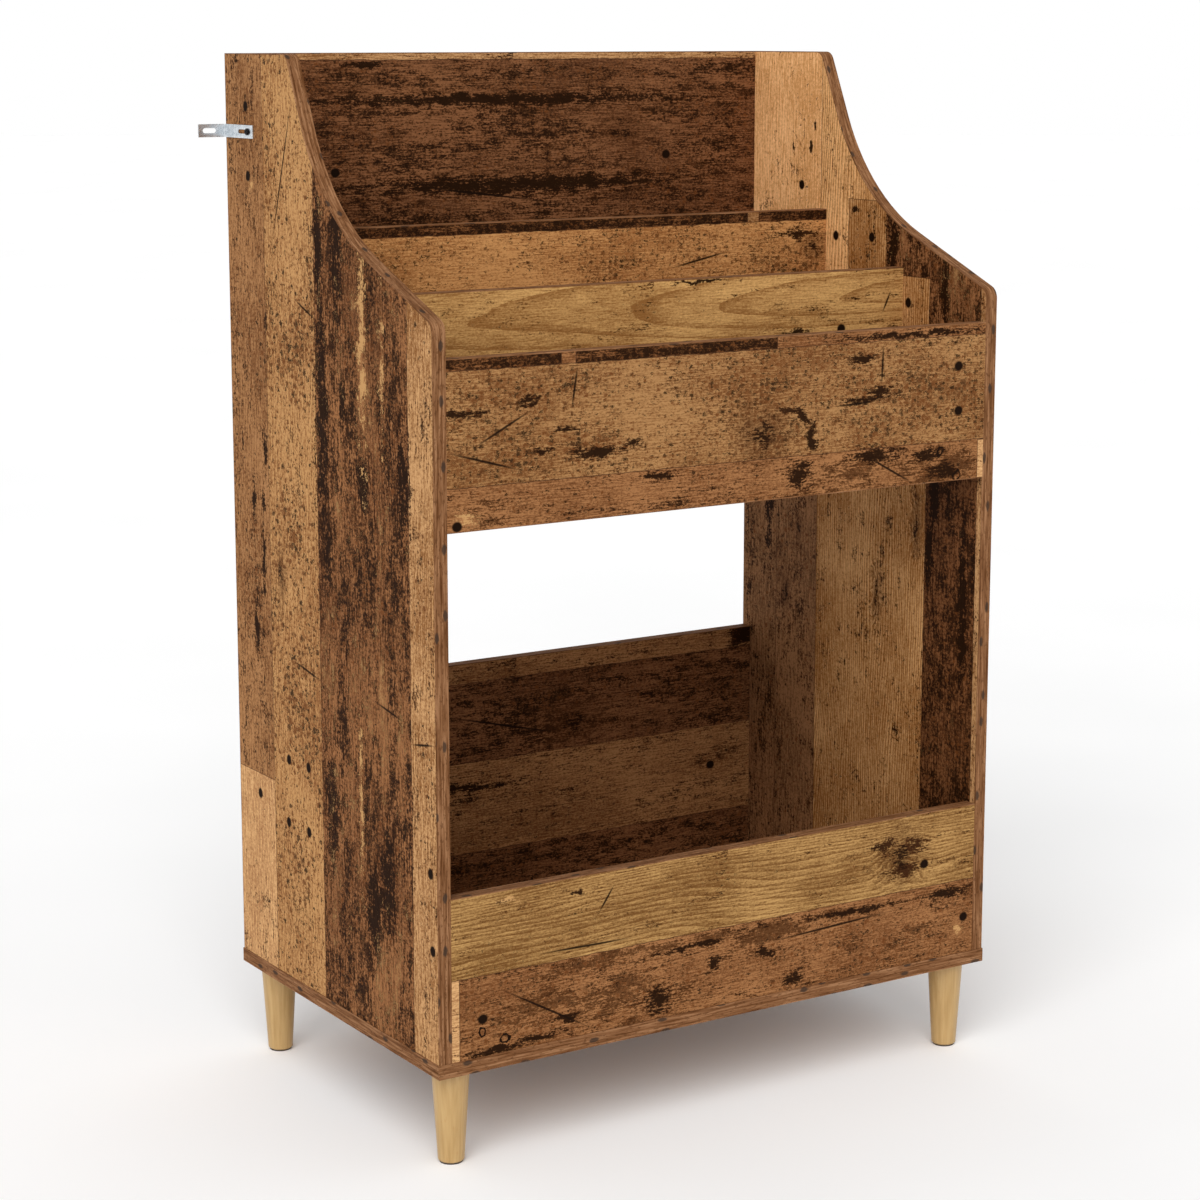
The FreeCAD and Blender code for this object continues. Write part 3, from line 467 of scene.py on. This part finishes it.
def grime_and_streaks(work, colour):
    """Grime, thickest where soot lies, and weather streaks with dark hearts, all with torn edges."""
    tree, plank, tear = work.tree, work.plank, work.tear
    grime = add(tree, "Math", (tear, TORN["grime"], work.drawn["stain"]), operation="MULTIPLY_ADD")
    grime = add(tree, "Math", (plank["grimed"], BROUGHT_OUT["grime"], grime), operation="MULTIPLY_ADD")
    if "soot" in work.off:
        sockets = (work.off["soot"], *FADES["soot"])
        soot = add(tree, "MapRange", sockets, interpolation_type="SMOOTHSTEP")
        grime = add(tree, "Math", (grime, soot), operation="ADD")
    grime = add(tree, "MapRange", (grime, *FADES["grime"]))
    colour = add(tree, "MixRGB", (grime, colour, tone(GRIME_INK)))
    streak = add(tree, "Math", (tear, TORN["streak"], work.drawn["streak"]), operation="MULTIPLY_ADD")
    habit = BROUGHT_OUT["streak"]
    streak = add(tree, "Math", (plank["streaked"], habit, streak), operation="MULTIPLY_ADD")
    for fade, ink in (("brown_streak", STREAK_INK), ("dark_streak", DARK_INK)):
        shade = add(tree, "MapRange", (streak, *FADES[fade]))
        colour = add(tree, "MixRGB", (shade, colour, tone(ink)))
    return colour


def worm_holes(work, colour):
    """Worm holes and pepper, which gather in clouds.

    Each is as large as its cell's luck allows and has a painted highlight round it, and some are nearly
    black.
    """
    tree, drawn, plank = work.tree, work.drawn, work.plank
    gather = add(tree, "MapRange", (drawn["cloud"], *FADES["fleck_cloud"]))
    gather = add(tree, "Math", (gather, plank["flecked"]), operation="ADD")
    if "swarm" in work.off:
        sockets = (work.off["swarm"], *FADES["swarm"])
        swarm = add(tree, "MapRange", sockets, interpolation_type="SMOOTHSTEP")
        gather = add(tree, "Math", (gather, swarm), operation="ADD")
    grit_colour = drawn["grit"].node.outputs["Color"]
    jolt = add(tree, "VectorMath", (grit_colour, NOISE_MIDDLE), operation="SUBTRACT")
    jolted = add(tree, "VectorMath", (jolt, (FLECK_JOLT * MM,) * 3, work.own), operation="MULTIPLY_ADD")
    for length, width in FLECKS:
        stretch = (1 / (length * MM), 1 / (width * work.sheet.spread * MM), 1)
        spot = add(tree, "Mapping", {"Vector": jolted, "Scale": stretch})
        away = add(tree, "TexVoronoi", {"Vector": spot, "Scale": 1.0}, voronoi_dimensions="2D")
        luck, darkness, _ = add(tree, "SeparateColor", (away.node.outputs["Color"],)).node.outputs
        size = add(tree, "Math", (gather, luck), operation="SUBTRACT")
        fleck = add(tree, "Math", (size, FLECK_RADIUS_SHARE), operation="MULTIPLY")
        fleck = add(tree, "Math", (fleck, away), operation="SUBTRACT")
        # A painted highlight: a pale rim round each hole, in the plank's pale tone.
        highlight = add(tree, "MapRange", (fleck, *FADES["painted_highlight_rim"]))
        colour = add(tree, "MixRGB", (highlight, colour, plank["pale"]))
        fleck = add(tree, "MapRange", (fleck, *FADES["fleck"]))
        shade = add(tree, "MapRange", (darkness, *FADES["dark_fleck"]))
        ink = add(tree, "MixRGB", (shade, tone(FLECK_INK), tone(DARK_INK)))
        colour = add(tree, "MixRGB", (fleck, colour, ink))
    return colour


def burns_and_knots(work, colour):
    """Burns and knots: a black heart with a brown rim that fades into the wood."""
    tree = work.tree
    for kind in ("burn", "knot"):
        if kind in work.off:
            torn = add(tree, "Math", (work.tear, TORN[kind], work.off[kind]), operation="MULTIPLY_ADD")
            rim = add(tree, "MapRange", (torn, *FADES[f"{kind}_rim"]))
            colour = add(tree, "MixRGB", (rim, colour, tone(STREAK_INK)))
            heart = add(tree, "MapRange", (torn, *FADES[f"{kind}_heart"]))
            colour = add(tree, "MixRGB", (heart, colour, tone(DARK_INK)))
    return colour


def flaked_places(work, colour):
    """Flaked places and slivers, which show bare wood."""
    tree, flaked = work.tree, work.plank["flaked"]
    flake = add(tree, "Math", (work.tear, TORN["flake"], FLAKE_LEVEL), operation="MULTIPLY_ADD")
    flake = add(tree, "Math", (flake, work.drawn["streak"]), operation="SUBTRACT")
    flake = add(tree, "Math", (flaked, BROUGHT_OUT["flake"], flake), operation="MULTIPLY_ADD")
    flake = add(tree, "MapRange", (flake, *FADES["flake"]))
    flake = add(tree, "Math", (flake, flaked), operation="MULTIPLY")
    if "sliver" in work.off:
        sockets = (work.tear, TORN["sliver"], work.off["sliver"])
        sliver = add(tree, "Math", sockets, operation="MULTIPLY_ADD")
        sliver = add(tree, "MapRange", (sliver, *FADES["sliver"]))
        flake = add(tree, "Math", (flake, sliver), operation="MAXIMUM")
    return add(tree, "MixRGB", (flake, colour, tone(FLAKE_TONE)))


def joints_and_holes(work, colour):
    """Joints, nail holes, the rings round old ones and scratches, which lie over everything."""
    tree, off = work.tree, work.off
    joint = add(tree, "Math", (work.plank["joint"], JOINT_STRENGTH), operation="MULTIPLY")
    colour = add(tree, "MixRGB", (joint, colour, tone(JOINT_INK)))
    if "nail" in off:
        hole = add(tree, "MapRange", (off["nail"], *FADES["nail"]))
        colour = add(tree, "MixRGB", (hole, colour, tone(NAIL_INK)))
    if "eye" in off:
        ring = add(tree, "Math", (off["eye"], EYE_RADIUS_SHARE, EYE_WIDTH_SHARE), operation="COMPARE")
        colour = add(tree, "MixRGB", (ring, colour, tone(NAIL_INK)))
    if "scratch" in off:
        scratch = add(tree, "MapRange", (off["scratch"], *FADES["scratch"]))
        colour = add(tree, "MixRGB", (scratch, colour, tone(NAIL_INK)))
    return colour


def old_plank_print(name, sheet, two_faced=False):
    """Chipboard faced with melamine foil, printed as old planks and embossed with their pores.

    To the eye it is matt, with a dull sheen that breaks up in the pores, and every plank has its own
    grain.
    """
    material, tree = new_material(name)
    place = add(tree, "TexCoord").node.outputs["Object"]
    flat = on_sheet(tree, sheet, place)
    along, across, through = add(tree, "SeparateXYZ", (flat,)).node.outputs
    if two_faced:
        depth = add(tree, "Math", (through,), operation="ABSOLUTE")
        inside = add(tree, "Math", (depth, side_middle), operation="LESS_THAN")
        across = add(tree, "Math", (inside, INNER_FACE * MM, across), operation="MULTIPLY_ADD")
        flat = add(tree, "CombineXYZ", (along, across, through))

    sockets = {"Vector": flat, "Scale": 1 / (WANDER * MM), "Detail": WANDER_DETAIL}
    wander = add(tree, "TexNoise", sockets, noise_dimensions="2D")
    stray = add(tree, "MapRange", (wander, NOISE_LOW, NOISE_HIGH, -EDGE_STRAY * MM, EDGE_STRAY * MM))
    edge = add(tree, "Math", (across, stray), operation="ADD")
    plank = laid_planks(tree, sheet, along, edge)
    off = mark_distances(tree, sheet, flat, wander)

    # Every plank takes its patterns from another part of the grain.
    own_along = add(tree, "Math", (plank["luck"], GRAIN_LENGTH, along), operation="MULTIPLY_ADD")
    own_across = add(tree, "Math", (plank["luck"], GRAIN_BREADTH, across), operation="MULTIPLY_ADD")
    own = add(tree, "CombineXYZ", (own_along, own_across))
    drawn = drawn_patterns(tree, PATTERNS, own, sheet.spread)

    tear = add(tree, "Math", (drawn["fibre"], TEAR_FIBRE_SHARE, drawn["rub"]), operation="MULTIPLY_ADD")
    tear = add(tree, "Math", (drawn["grit"], TEAR_GRIT_SHARE, tear), operation="MULTIPLY_ADD")
    tear = add(tree, "Math", (tear, TEAR_MIDDLE), operation="SUBTRACT")

    work = Work(tree, sheet, plank, own, drawn, off, tear)
    colour = bare_wood(work, across)
    for layer in (grime_and_streaks, worm_holes, burns_and_knots, flaked_places, joints_and_holes):
        colour = layer(work, colour)

    stretch = (1 / (PORE_LENGTH * MM), 1 / (PORE_WIDTH * MM), 1)
    spot = add(tree, "Mapping", {"Vector": flat, "Scale": stretch})
    sockets = {"Vector": spot, "Scale": 1.0, "Detail": PORE_DETAIL}
    pore = add(tree, "TexNoise", sockets, noise_dimensions="2D")
    shader = add(tree, "BsdfPrincipled", {
        "Base Color": colour,
        "Roughness": add(tree, "MapRange", (drawn["fibre"], *FADES["roughness"])),
        "Normal": add(tree, "Bump", {
            "Strength": PORE_STRENGTH, "Distance": PORE_DEPTH * MM, "Height": pore,
        }),
        "IOR": MELAMINE_IOR,
        "Specular IOR Level": MELAMINE_SPECULAR,
    })
    add(tree, "OutputMaterial", (shader,))
    return material


# The bands' streaks and flecks are noises: length and width in millimetres, detail and roughness.
BAND_PATTERNS = {"streak": (60, 2.4, 5.0, 0.65), "fleck": (8, 2.8, 3.0, 0.65)}
BAND_TONES = [(0.32, "#563319"), (0.50, "#7C5436"), (0.68, "#9C7250")]
BAND_FLECK_INK, OVAL_INK = "#50301A", "#3A2E26"
BAND_FADES = {"fleck": (0.57, 0.65, 0.0, 0.6), "oval": (0.14, 0.18, 0.85, 0.0)}
BAND_ROUGHNESS = 0.6
BAND_GRAIN_DEPTH, BAND_GRAIN_STRENGTH = 0.2, 0.2
# Grey ovals lie in cells of this length and width, one to a cell, and flecks tear their edges.
OVAL_PITCH, OVAL_SPAN = 56.0, 24.0
OVAL_TORN = 0.12


def banded_edge(name, along, across):
    """Melamine edge band, printed as reddish planed wood and ironed on.

    To the eye it is matt, with fine streaks and grey ovals. Its print runs along the sum of the axes
    that are 1 in along, and so round a curve in their plane.
    """
    material, tree = new_material(name)
    place = add(tree, "TexCoord").node.outputs["Object"]
    lengthwise, crosswise = (
        add(tree, "VectorMath", (place, axes), operation="DOT_PRODUCT").node.outputs["Value"]
        for axes in (along, across)
    )
    flat = add(tree, "CombineXYZ", (lengthwise, crosswise))
    drawn = drawn_patterns(tree, BAND_PATTERNS, flat)
    stops = [(level, tone(code)) for level, code in BAND_TONES]
    colour = add(tree, "ValToRGB", (drawn["streak"],), stops=stops)
    fleck = add(tree, "MapRange", (drawn["fleck"], *BAND_FADES["fleck"]))
    colour = add(tree, "MixRGB", (fleck, colour, tone(BAND_FLECK_INK)))
    stretch = (1 / (OVAL_PITCH * MM), 1 / (OVAL_SPAN * MM), 1)
    spot = add(tree, "Mapping", {"Vector": flat, "Scale": stretch})
    away = add(tree, "TexVoronoi", {"Vector": spot, "Scale": 1.0}, voronoi_dimensions="2D")
    away = add(tree, "Math", (drawn["fleck"], OVAL_TORN, away), operation="MULTIPLY_ADD")
    oval = add(tree, "MapRange", (away, *BAND_FADES["oval"]))
    colour = add(tree, "MixRGB", (oval, colour, tone(OVAL_INK)))
    shader = add(tree, "BsdfPrincipled", {
        "Base Color": colour,
        "Roughness": BAND_ROUGHNESS,
        "Normal": add(tree, "Bump", {
            "Strength": BAND_GRAIN_STRENGTH,
            "Distance": BAND_GRAIN_DEPTH * MM,
            "Height": drawn["streak"],
        }),
        "IOR": MELAMINE_IOR,
        "Specular IOR Level": MELAMINE_SPECULAR,
    })
    add(tree, "OutputMaterial", (shader,))
    return material


# Beech's upright grain and its rays: width and length in millimetres, and detail.
BEECH_PATTERNS = {"grain": (4, 90, 3.0), "ray": (1.6, 9, 1.0)}
BEECH_TONES = [(0.30, "#A8854F"), (0.50, "#B3905A"), (0.70, "#BC9A64")]
BEECH_RAY_INK = "#A97B45"
BEECH_FADES = {"ray": (0.64, 0.74, 0.0, 0.35), "roughness": (0.0, 1.0, 0.38, 0.5)}
BEECH_GRAIN_DEPTH, BEECH_GRAIN_STRENGTH = 0.15, 0.15
BEECH_IOR = 1.5
LACQUER_WEIGHT, LACQUER_ROUGHNESS = 0.15, 0.3


def turned_beech():
    """Beech, turned and sealed with clear satin lacquer.

    To the eye it is pale straw with fine upright grain and short dark rays, under a soft shine.
    """
    material, tree = new_material("beech_turned_and_lacquered")
    place = add(tree, "TexCoord").node.outputs["Object"]
    drawn = {}
    for pattern, (width, length, detail) in BEECH_PATTERNS.items():
        stretch = (1 / (width * MM), 1 / (width * MM), 1 / (length * MM))
        spot = add(tree, "Mapping", {"Vector": place, "Scale": stretch})
        drawn[pattern] = add(tree, "TexNoise", {"Vector": spot, "Scale": 1.0, "Detail": detail})
    grain = drawn["grain"]
    wood = add(tree, "ValToRGB", (grain,), stops=[(level, tone(code)) for level, code in BEECH_TONES])
    ray = add(tree, "MapRange", (drawn["ray"], *BEECH_FADES["ray"]))
    shader = add(tree, "BsdfPrincipled", {
        "Base Color": add(tree, "MixRGB", (ray, wood, tone(BEECH_RAY_INK))),
        "Roughness": add(tree, "MapRange", (grain, *BEECH_FADES["roughness"])),
        "Normal": add(tree, "Bump", {
            "Strength": BEECH_GRAIN_STRENGTH, "Distance": BEECH_GRAIN_DEPTH * MM, "Height": grain,
        }),
        "IOR": BEECH_IOR,
        "Coat Weight": LACQUER_WEIGHT,
        "Coat Roughness": LACQUER_ROUGHNESS,
    })
    add(tree, "OutputMaterial", (shader,))
    return material


METAL_DETAIL = 4.0
# Where a mottled surface shows its deep tone only, and where its pale one.
MOTTLE_LOW, MOTTLE_HIGH = 0.35, 0.65


def worked_metal(name, pale, deep, roughness, mottle):
    """A bare or plated metal.

    To the eye it has two close tones, in patches of the mottle's size, and its shine drifts with them
    between the two roughnesses.
    """
    material, tree = new_material(name)
    place = add(tree, "TexCoord").node.outputs["Object"]
    sockets = {"Vector": place, "Scale": 1 / (mottle * MM), "Detail": METAL_DETAIL}
    patch = add(tree, "TexNoise", sockets)
    stops = [(MOTTLE_LOW, tone(deep)), (MOTTLE_HIGH, tone(pale))]
    shader = add(tree, "BsdfPrincipled", {
        "Base Color": add(tree, "ValToRGB", (patch,), stops=stops),
        "Roughness": add(tree, "MapRange", (patch, NOISE_LOW, NOISE_HIGH, *roughness)),
        "Metallic": 1.0,
    })
    add(tree, "OutputMaterial", (shader,))
    return material


# The moulded grain is too fine to show, so it is drawn coarser.
NYLON_GRAIN, NYLON_DETAIL = 1.2, 2.0
NYLON_DEEP, NYLON_PALE = "#2A2018", "#3A2E24"
NYLON_GRAIN_DEPTH, NYLON_GRAIN_STRENGTH = 0.1, 0.2
NYLON_IOR, NYLON_ROUGHNESS = 1.53, 0.55


def moulded_nylon():
    """Nylon, moulded and dyed dark brown: to the eye it has a faint grain and a dull sheen."""
    material, tree = new_material("nylon_moulded")
    place = add(tree, "TexCoord").node.outputs["Object"]
    sockets = {"Vector": place, "Scale": 1 / (NYLON_GRAIN * MM), "Detail": NYLON_DETAIL}
    grain = add(tree, "TexNoise", sockets)
    stops = [(MOTTLE_LOW, tone(NYLON_DEEP)), (MOTTLE_HIGH, tone(NYLON_PALE))]
    shader = add(tree, "BsdfPrincipled", {
        "Base Color": add(tree, "ValToRGB", (grain,), stops=stops),
        "Roughness": NYLON_ROUGHNESS,
        "Normal": add(tree, "Bump", {
            "Strength": NYLON_GRAIN_STRENGTH, "Distance": NYLON_GRAIN_DEPTH * MM, "Height": grain,
        }),
        "IOR": NYLON_IOR,
    })
    add(tree, "OutputMaterial", (shader,))
    return material


def side_sheet():
    """The sides' sheet: the outer face's planks from front to back, then the inner face's."""
    outer_planks = [("tan", 51), ("weathered", 198), ("speckled", 116)]
    rest = INNER_FACE - sum(width for _, width in outer_planks)
    past_top = 1200
    outer = Sheet(
        Z, Y, 4.2,
        [*outer_planks, ("brown", rest)],
        start=side_front,
        # Seen aslant, fibres of their own width would be too fine to show, so they are drawn coarser.
        spread=1.8,
        patches=[Patch(0, 333, 365, 460, "straw")],
        nails=[
            (1067, 404), (993, 401), (364, 329), (365, 282), (310, 402), (293, 332), (293, 283),
            (314, 14), (234, 11),
        ],
        knots=[(564, 339, 36, 12)],
        burns=[
            (579, 381, 60, 8), (692, 149, 60, 26), (240, 133, 100, 36), (284, 104, 110, 30),
            (960, 200, 240, 24), (700, 372, 26, 8), (840, 366, 20, 8), (500, 402, 60, 10),
            (640, 402, 40, 8), (900, 30, 14, 6), (760, 236, 260, 26), (930, 240, 120, 18),
            (705, 62, 120, 24), (600, 226, 70, 20), (770, 190, 60, 16), (640, 380, 22, 9),
            (330, 226, 120, 26),
        ],
        swarms=[
            (820, 300, 200, 80), (620, 310, 160, 90), (420, 310, 200, 90), (260, 300, 160, 90),
            (560, 400, 240, 60), (420, 20, 120, 30), (600, 30, 90, 30), (240, 20, 160, 30),
        ],
        scratches=[
            (919, 347, 1078, 294), (868, 294, 851, 248), (477, 310, 467, 248), (469, 127, 460, 68),
            (440, 50, 448, 4),
        ],
        slivers=[(831, 147, 230, 20), (350, 160, 180, 8), (815, 104, 140, 7), (983, 394, 16, 8)],
    )
    inner = Sheet(
        Z, Y, 4.2,
        # From 9 to 98 across, below 800 mm, the plank is partly a dark plank of the print and partly
        # painted shade.
        [("tan", 9), ("sooty", 89), ("ridged", 205), ("russet", 81), ("russet", 76)],
        patches=[
            Patch(873, past_top, 98, 177, "weathered"), Patch(800, past_top, 177, 303, "sawn"),
            # Above 800 mm, from 303 to 460 across, the inner face is partly a paler plank of the print
            # and partly painted light.
            Patch(800, 955, 177, 249, "ridged"), Patch(800, past_top, 303, 460, "straw_painted_light"),
            Patch(800, past_top, 9, 98, "weathered"),
        ],
        nails=[(967, 341), (911, 273), (913, 205), (843, 136)],
        knots=[(553, 338, 26, 10), (475, 365, 36, 12), (497, 185, 36, 10), (590, 114, 36, 12)],
        burns=[
            (944, 236, 5, 12), (926, 200, 26, 4), (700, 343, 200, 12), (600, 400, 160, 14),
            (1037, 316, 8, 4), (1012, 324, 14, 4), (1011, 359, 9, 5), (640, 84, 120, 20),
            (560, 90, 90, 12), (500, 30, 200, 16), (905, 165, 90, 20), (862, 70, 90, 14),
            (925, 118, 50, 10),
        ],
        swarms=[(1040, 345, 40, 30), (620, 360, 300, 60)],
    )
    moved = {"planks": outer.planks + inner.planks, "patches": list(outer.patches)}
    for patch in inner.patches:
        first, last = patch.across_from + INNER_FACE, patch.across_to + INNER_FACE
        moved["patches"].append(patch._replace(across_from=first, across_to=last))
    for marks in ("nails", "knots", "burns", "swarms"):
        inside = [(z, y + INNER_FACE, *size) for z, y, *size in getattr(inner, marks)]
        moved[marks] = [*getattr(outer, marks), *inside]
    return outer._replace(**moved)


def lying_sheet(name):
    """The base and the bin floors: planks from side to side, laid out from the front edge back."""
    return Sheet(
        X, Y, 4.6,
        [("speckled", 120), ("brown", 90), ("umber", 110), ("tan", 140)],
        start=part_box(name)[0].y,
        nails=[(-250, 70), (210, 160)],
        knots=[(60, 100, 40, 26)],
        burns=[(-120, 40, 60, 16)],
        swarms=[(100, 60, 200, 80)],
        scratches=[(-120, 30, 20, 90)],
    )


for board_name, board_sheet in BOARD_SHEETS.items():
    board_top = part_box(f"{board_name}_top_band")[1].z
    placed = board_sheet._replace(start=board_top)
    dress([board_name], old_plank_print(f"old_plank_foil_{board_name}", placed))
for floor_name in ("base_panel", "front_bin_floor", "middle_bin_floor", "rear_bin_floor"):
    dress([floor_name], old_plank_print(f"old_plank_foil_{floor_name}", lying_sheet(floor_name)))
side_print = old_plank_print("old_plank_foil_sides", side_sheet(), two_faced=True)
dress(["left_side_panel", "right_side_panel"], side_print)

lengthwise = banded_edge("edge_band_lengthwise", (1, 0, 0), (0, 1, 1))
upright = banded_edge("edge_band_upright", (0, 1, 1), (1, 0, 0))
crosswise = banded_edge("edge_band_crosswise", (0, 1, 0), (1, 0, 1))
dress([name for name in nodes if name.endswith(("_top_band", "_bottom_band"))], lengthwise)
dress(["base_front_band", "base_back_band"], lengthwise)
dress(["base_left_band", "base_right_band"], crosswise)
dress([name for name in nodes if name.endswith(("contour_band", "side_back_band"))], upright)

beech = turned_beech()
dress([name for name in nodes if name.endswith("_leg")], beech)
dress(["wood_dowels"], beech)
dress([name for name in nodes if name.endswith("_glide")], moulded_nylon())
# Pressed steel, bright zinc plated: a cold silver with a soft, slightly patchy shine.
zinc = worked_metal("steel_bright_zinc_plated", "#E6EAED", "#CBD1D6", (0.22, 0.34), 5)
# Cast zinc, left bare: greyer and duller.
cast_zinc = worked_metal("zinc_die_cast", "#B9BABB", "#8E9092", (0.4, 0.55), 3)
# Steel, blackened in oil: a near-black metal with a low sheen.
black_steel = worked_metal("steel_oil_blackened", "#3A3A3C", "#202022", (0.35, 0.5), 2)
dress(["left_wall_bracket", "right_wall_bracket"], zinc)
dress(["cam_locks"], cast_zinc)
dress(["bracket_screws"], black_steel)
dress(["cam_bolts", "confirmat_screws", "leg_hanger_bolts", "leg_insert_nuts"], zinc)


# The floor is a disc, with its radius in metres.
FLOOR_RADIUS, FLOOR_SIDES = 30, 96
FLOOR_DEEP, FLOOR_PALE = "#FAFAFA", "#FDFDFD"
FLOOR_ROUGHNESS = 0.9
# The floor's paint drifts between its tones over this length in millimetres.
FLOOR_DRIFT, FLOOR_DETAIL = 600, 2.0
# The surround's tones by height, from 0 at the horizon to 1 overhead.
SURROUND_TONES = [(0.1, "#FFFFFF"), (0.6, "#CACACA")]
# The light's spread in degrees, its strength, and which way it shines.
LIGHT_SPREAD, LIGHT_STRENGTH = 50, 1.9
LIGHT_HEADING = (0.50, 0.55, -0.67)


def studio():
    """A pale floor, a white surround that dims overhead, and a broad light from the upper left front."""
    bpy.ops.mesh.primitive_circle_add(vertices=FLOOR_SIDES, radius=FLOOR_RADIUS, fill_type="NGON")
    floor = bpy.context.object
    floor.name = "studio_floor"
    material, tree = new_material("floor_paint_matt_white")
    place = add(tree, "TexCoord").node.outputs["Object"]
    sockets = {"Vector": place, "Scale": 1 / (FLOOR_DRIFT * MM), "Detail": FLOOR_DETAIL}
    drift = add(tree, "TexNoise", sockets)
    stops = [(NOISE_LOW, tone(FLOOR_DEEP)), (NOISE_HIGH, tone(FLOOR_PALE))]
    colour = add(tree, "ValToRGB", (drift,), stops=stops)
    shader = add(tree, "BsdfPrincipled", {"Base Color": colour, "Roughness": FLOOR_ROUGHNESS})
    add(tree, "OutputMaterial", (shader,))
    floor.data.materials.append(material)

    world = bpy.data.worlds.new("studio_surround")
    world.use_nodes = True
    surround = world.node_tree
    surround.nodes.clear()
    height = add(surround, "SeparateXYZ", (add(surround, "TexCoord"),)).node.outputs["Z"]
    stops = [(level, tone(code)) for level, code in SURROUND_TONES]
    walls = add(surround, "ValToRGB", (height,), stops=stops)
    add(surround, "OutputWorld", (add(surround, "Background", (walls, 1.0)),))
    bpy.context.scene.world = world

    sun = bpy.data.lights.new("broad_light", "SUN")
    sun.angle = math.radians(LIGHT_SPREAD)
    sun.energy = LIGHT_STRENGTH
    lamp = bpy.data.objects.new("broad_light", sun)
    lamp.rotation_mode = "QUATERNION"
    lamp.rotation_quaternion = Vector(LIGHT_HEADING).to_track_quat("-Z", "Y")
    bpy.context.scene.collection.objects.link(lamp)


# The lens and its sensor in millimetres, and the camera's place in metres. It looks this many degrees
# down from level and this many round from straight ahead, clockwise as seen from above.
FOCAL_LENGTH, SENSOR_WIDTH = 86.09, 36
FRAME_SHIFT = -0.05
FARTHEST = 200
CAMERA_PLACE = (-1.7006, -2.6424, 1.1451)
CAMERA_TILT, CAMERA_TURN = 10.04, 32.497


def place_camera():
    """The camera: to the left of the front, a little above the shelf's top, looking slightly down."""
    lens = bpy.data.cameras.new("photo_camera")
    lens.lens = FOCAL_LENGTH
    lens.sensor_width = SENSOR_WIDTH
    lens.shift_y = FRAME_SHIFT
    lens.clip_end = FARTHEST
    camera = bpy.data.objects.new("photo_camera", lens)
    camera.location = CAMERA_PLACE
    camera.rotation_euler = (math.radians(90 - CAMERA_TILT), 0, math.radians(-CAMERA_TURN))
    bpy.context.scene.collection.objects.link(camera)
    bpy.context.scene.camera = camera


studio()
place_camera()
bpy.context.scene.view_settings.view_transform = "Standard"
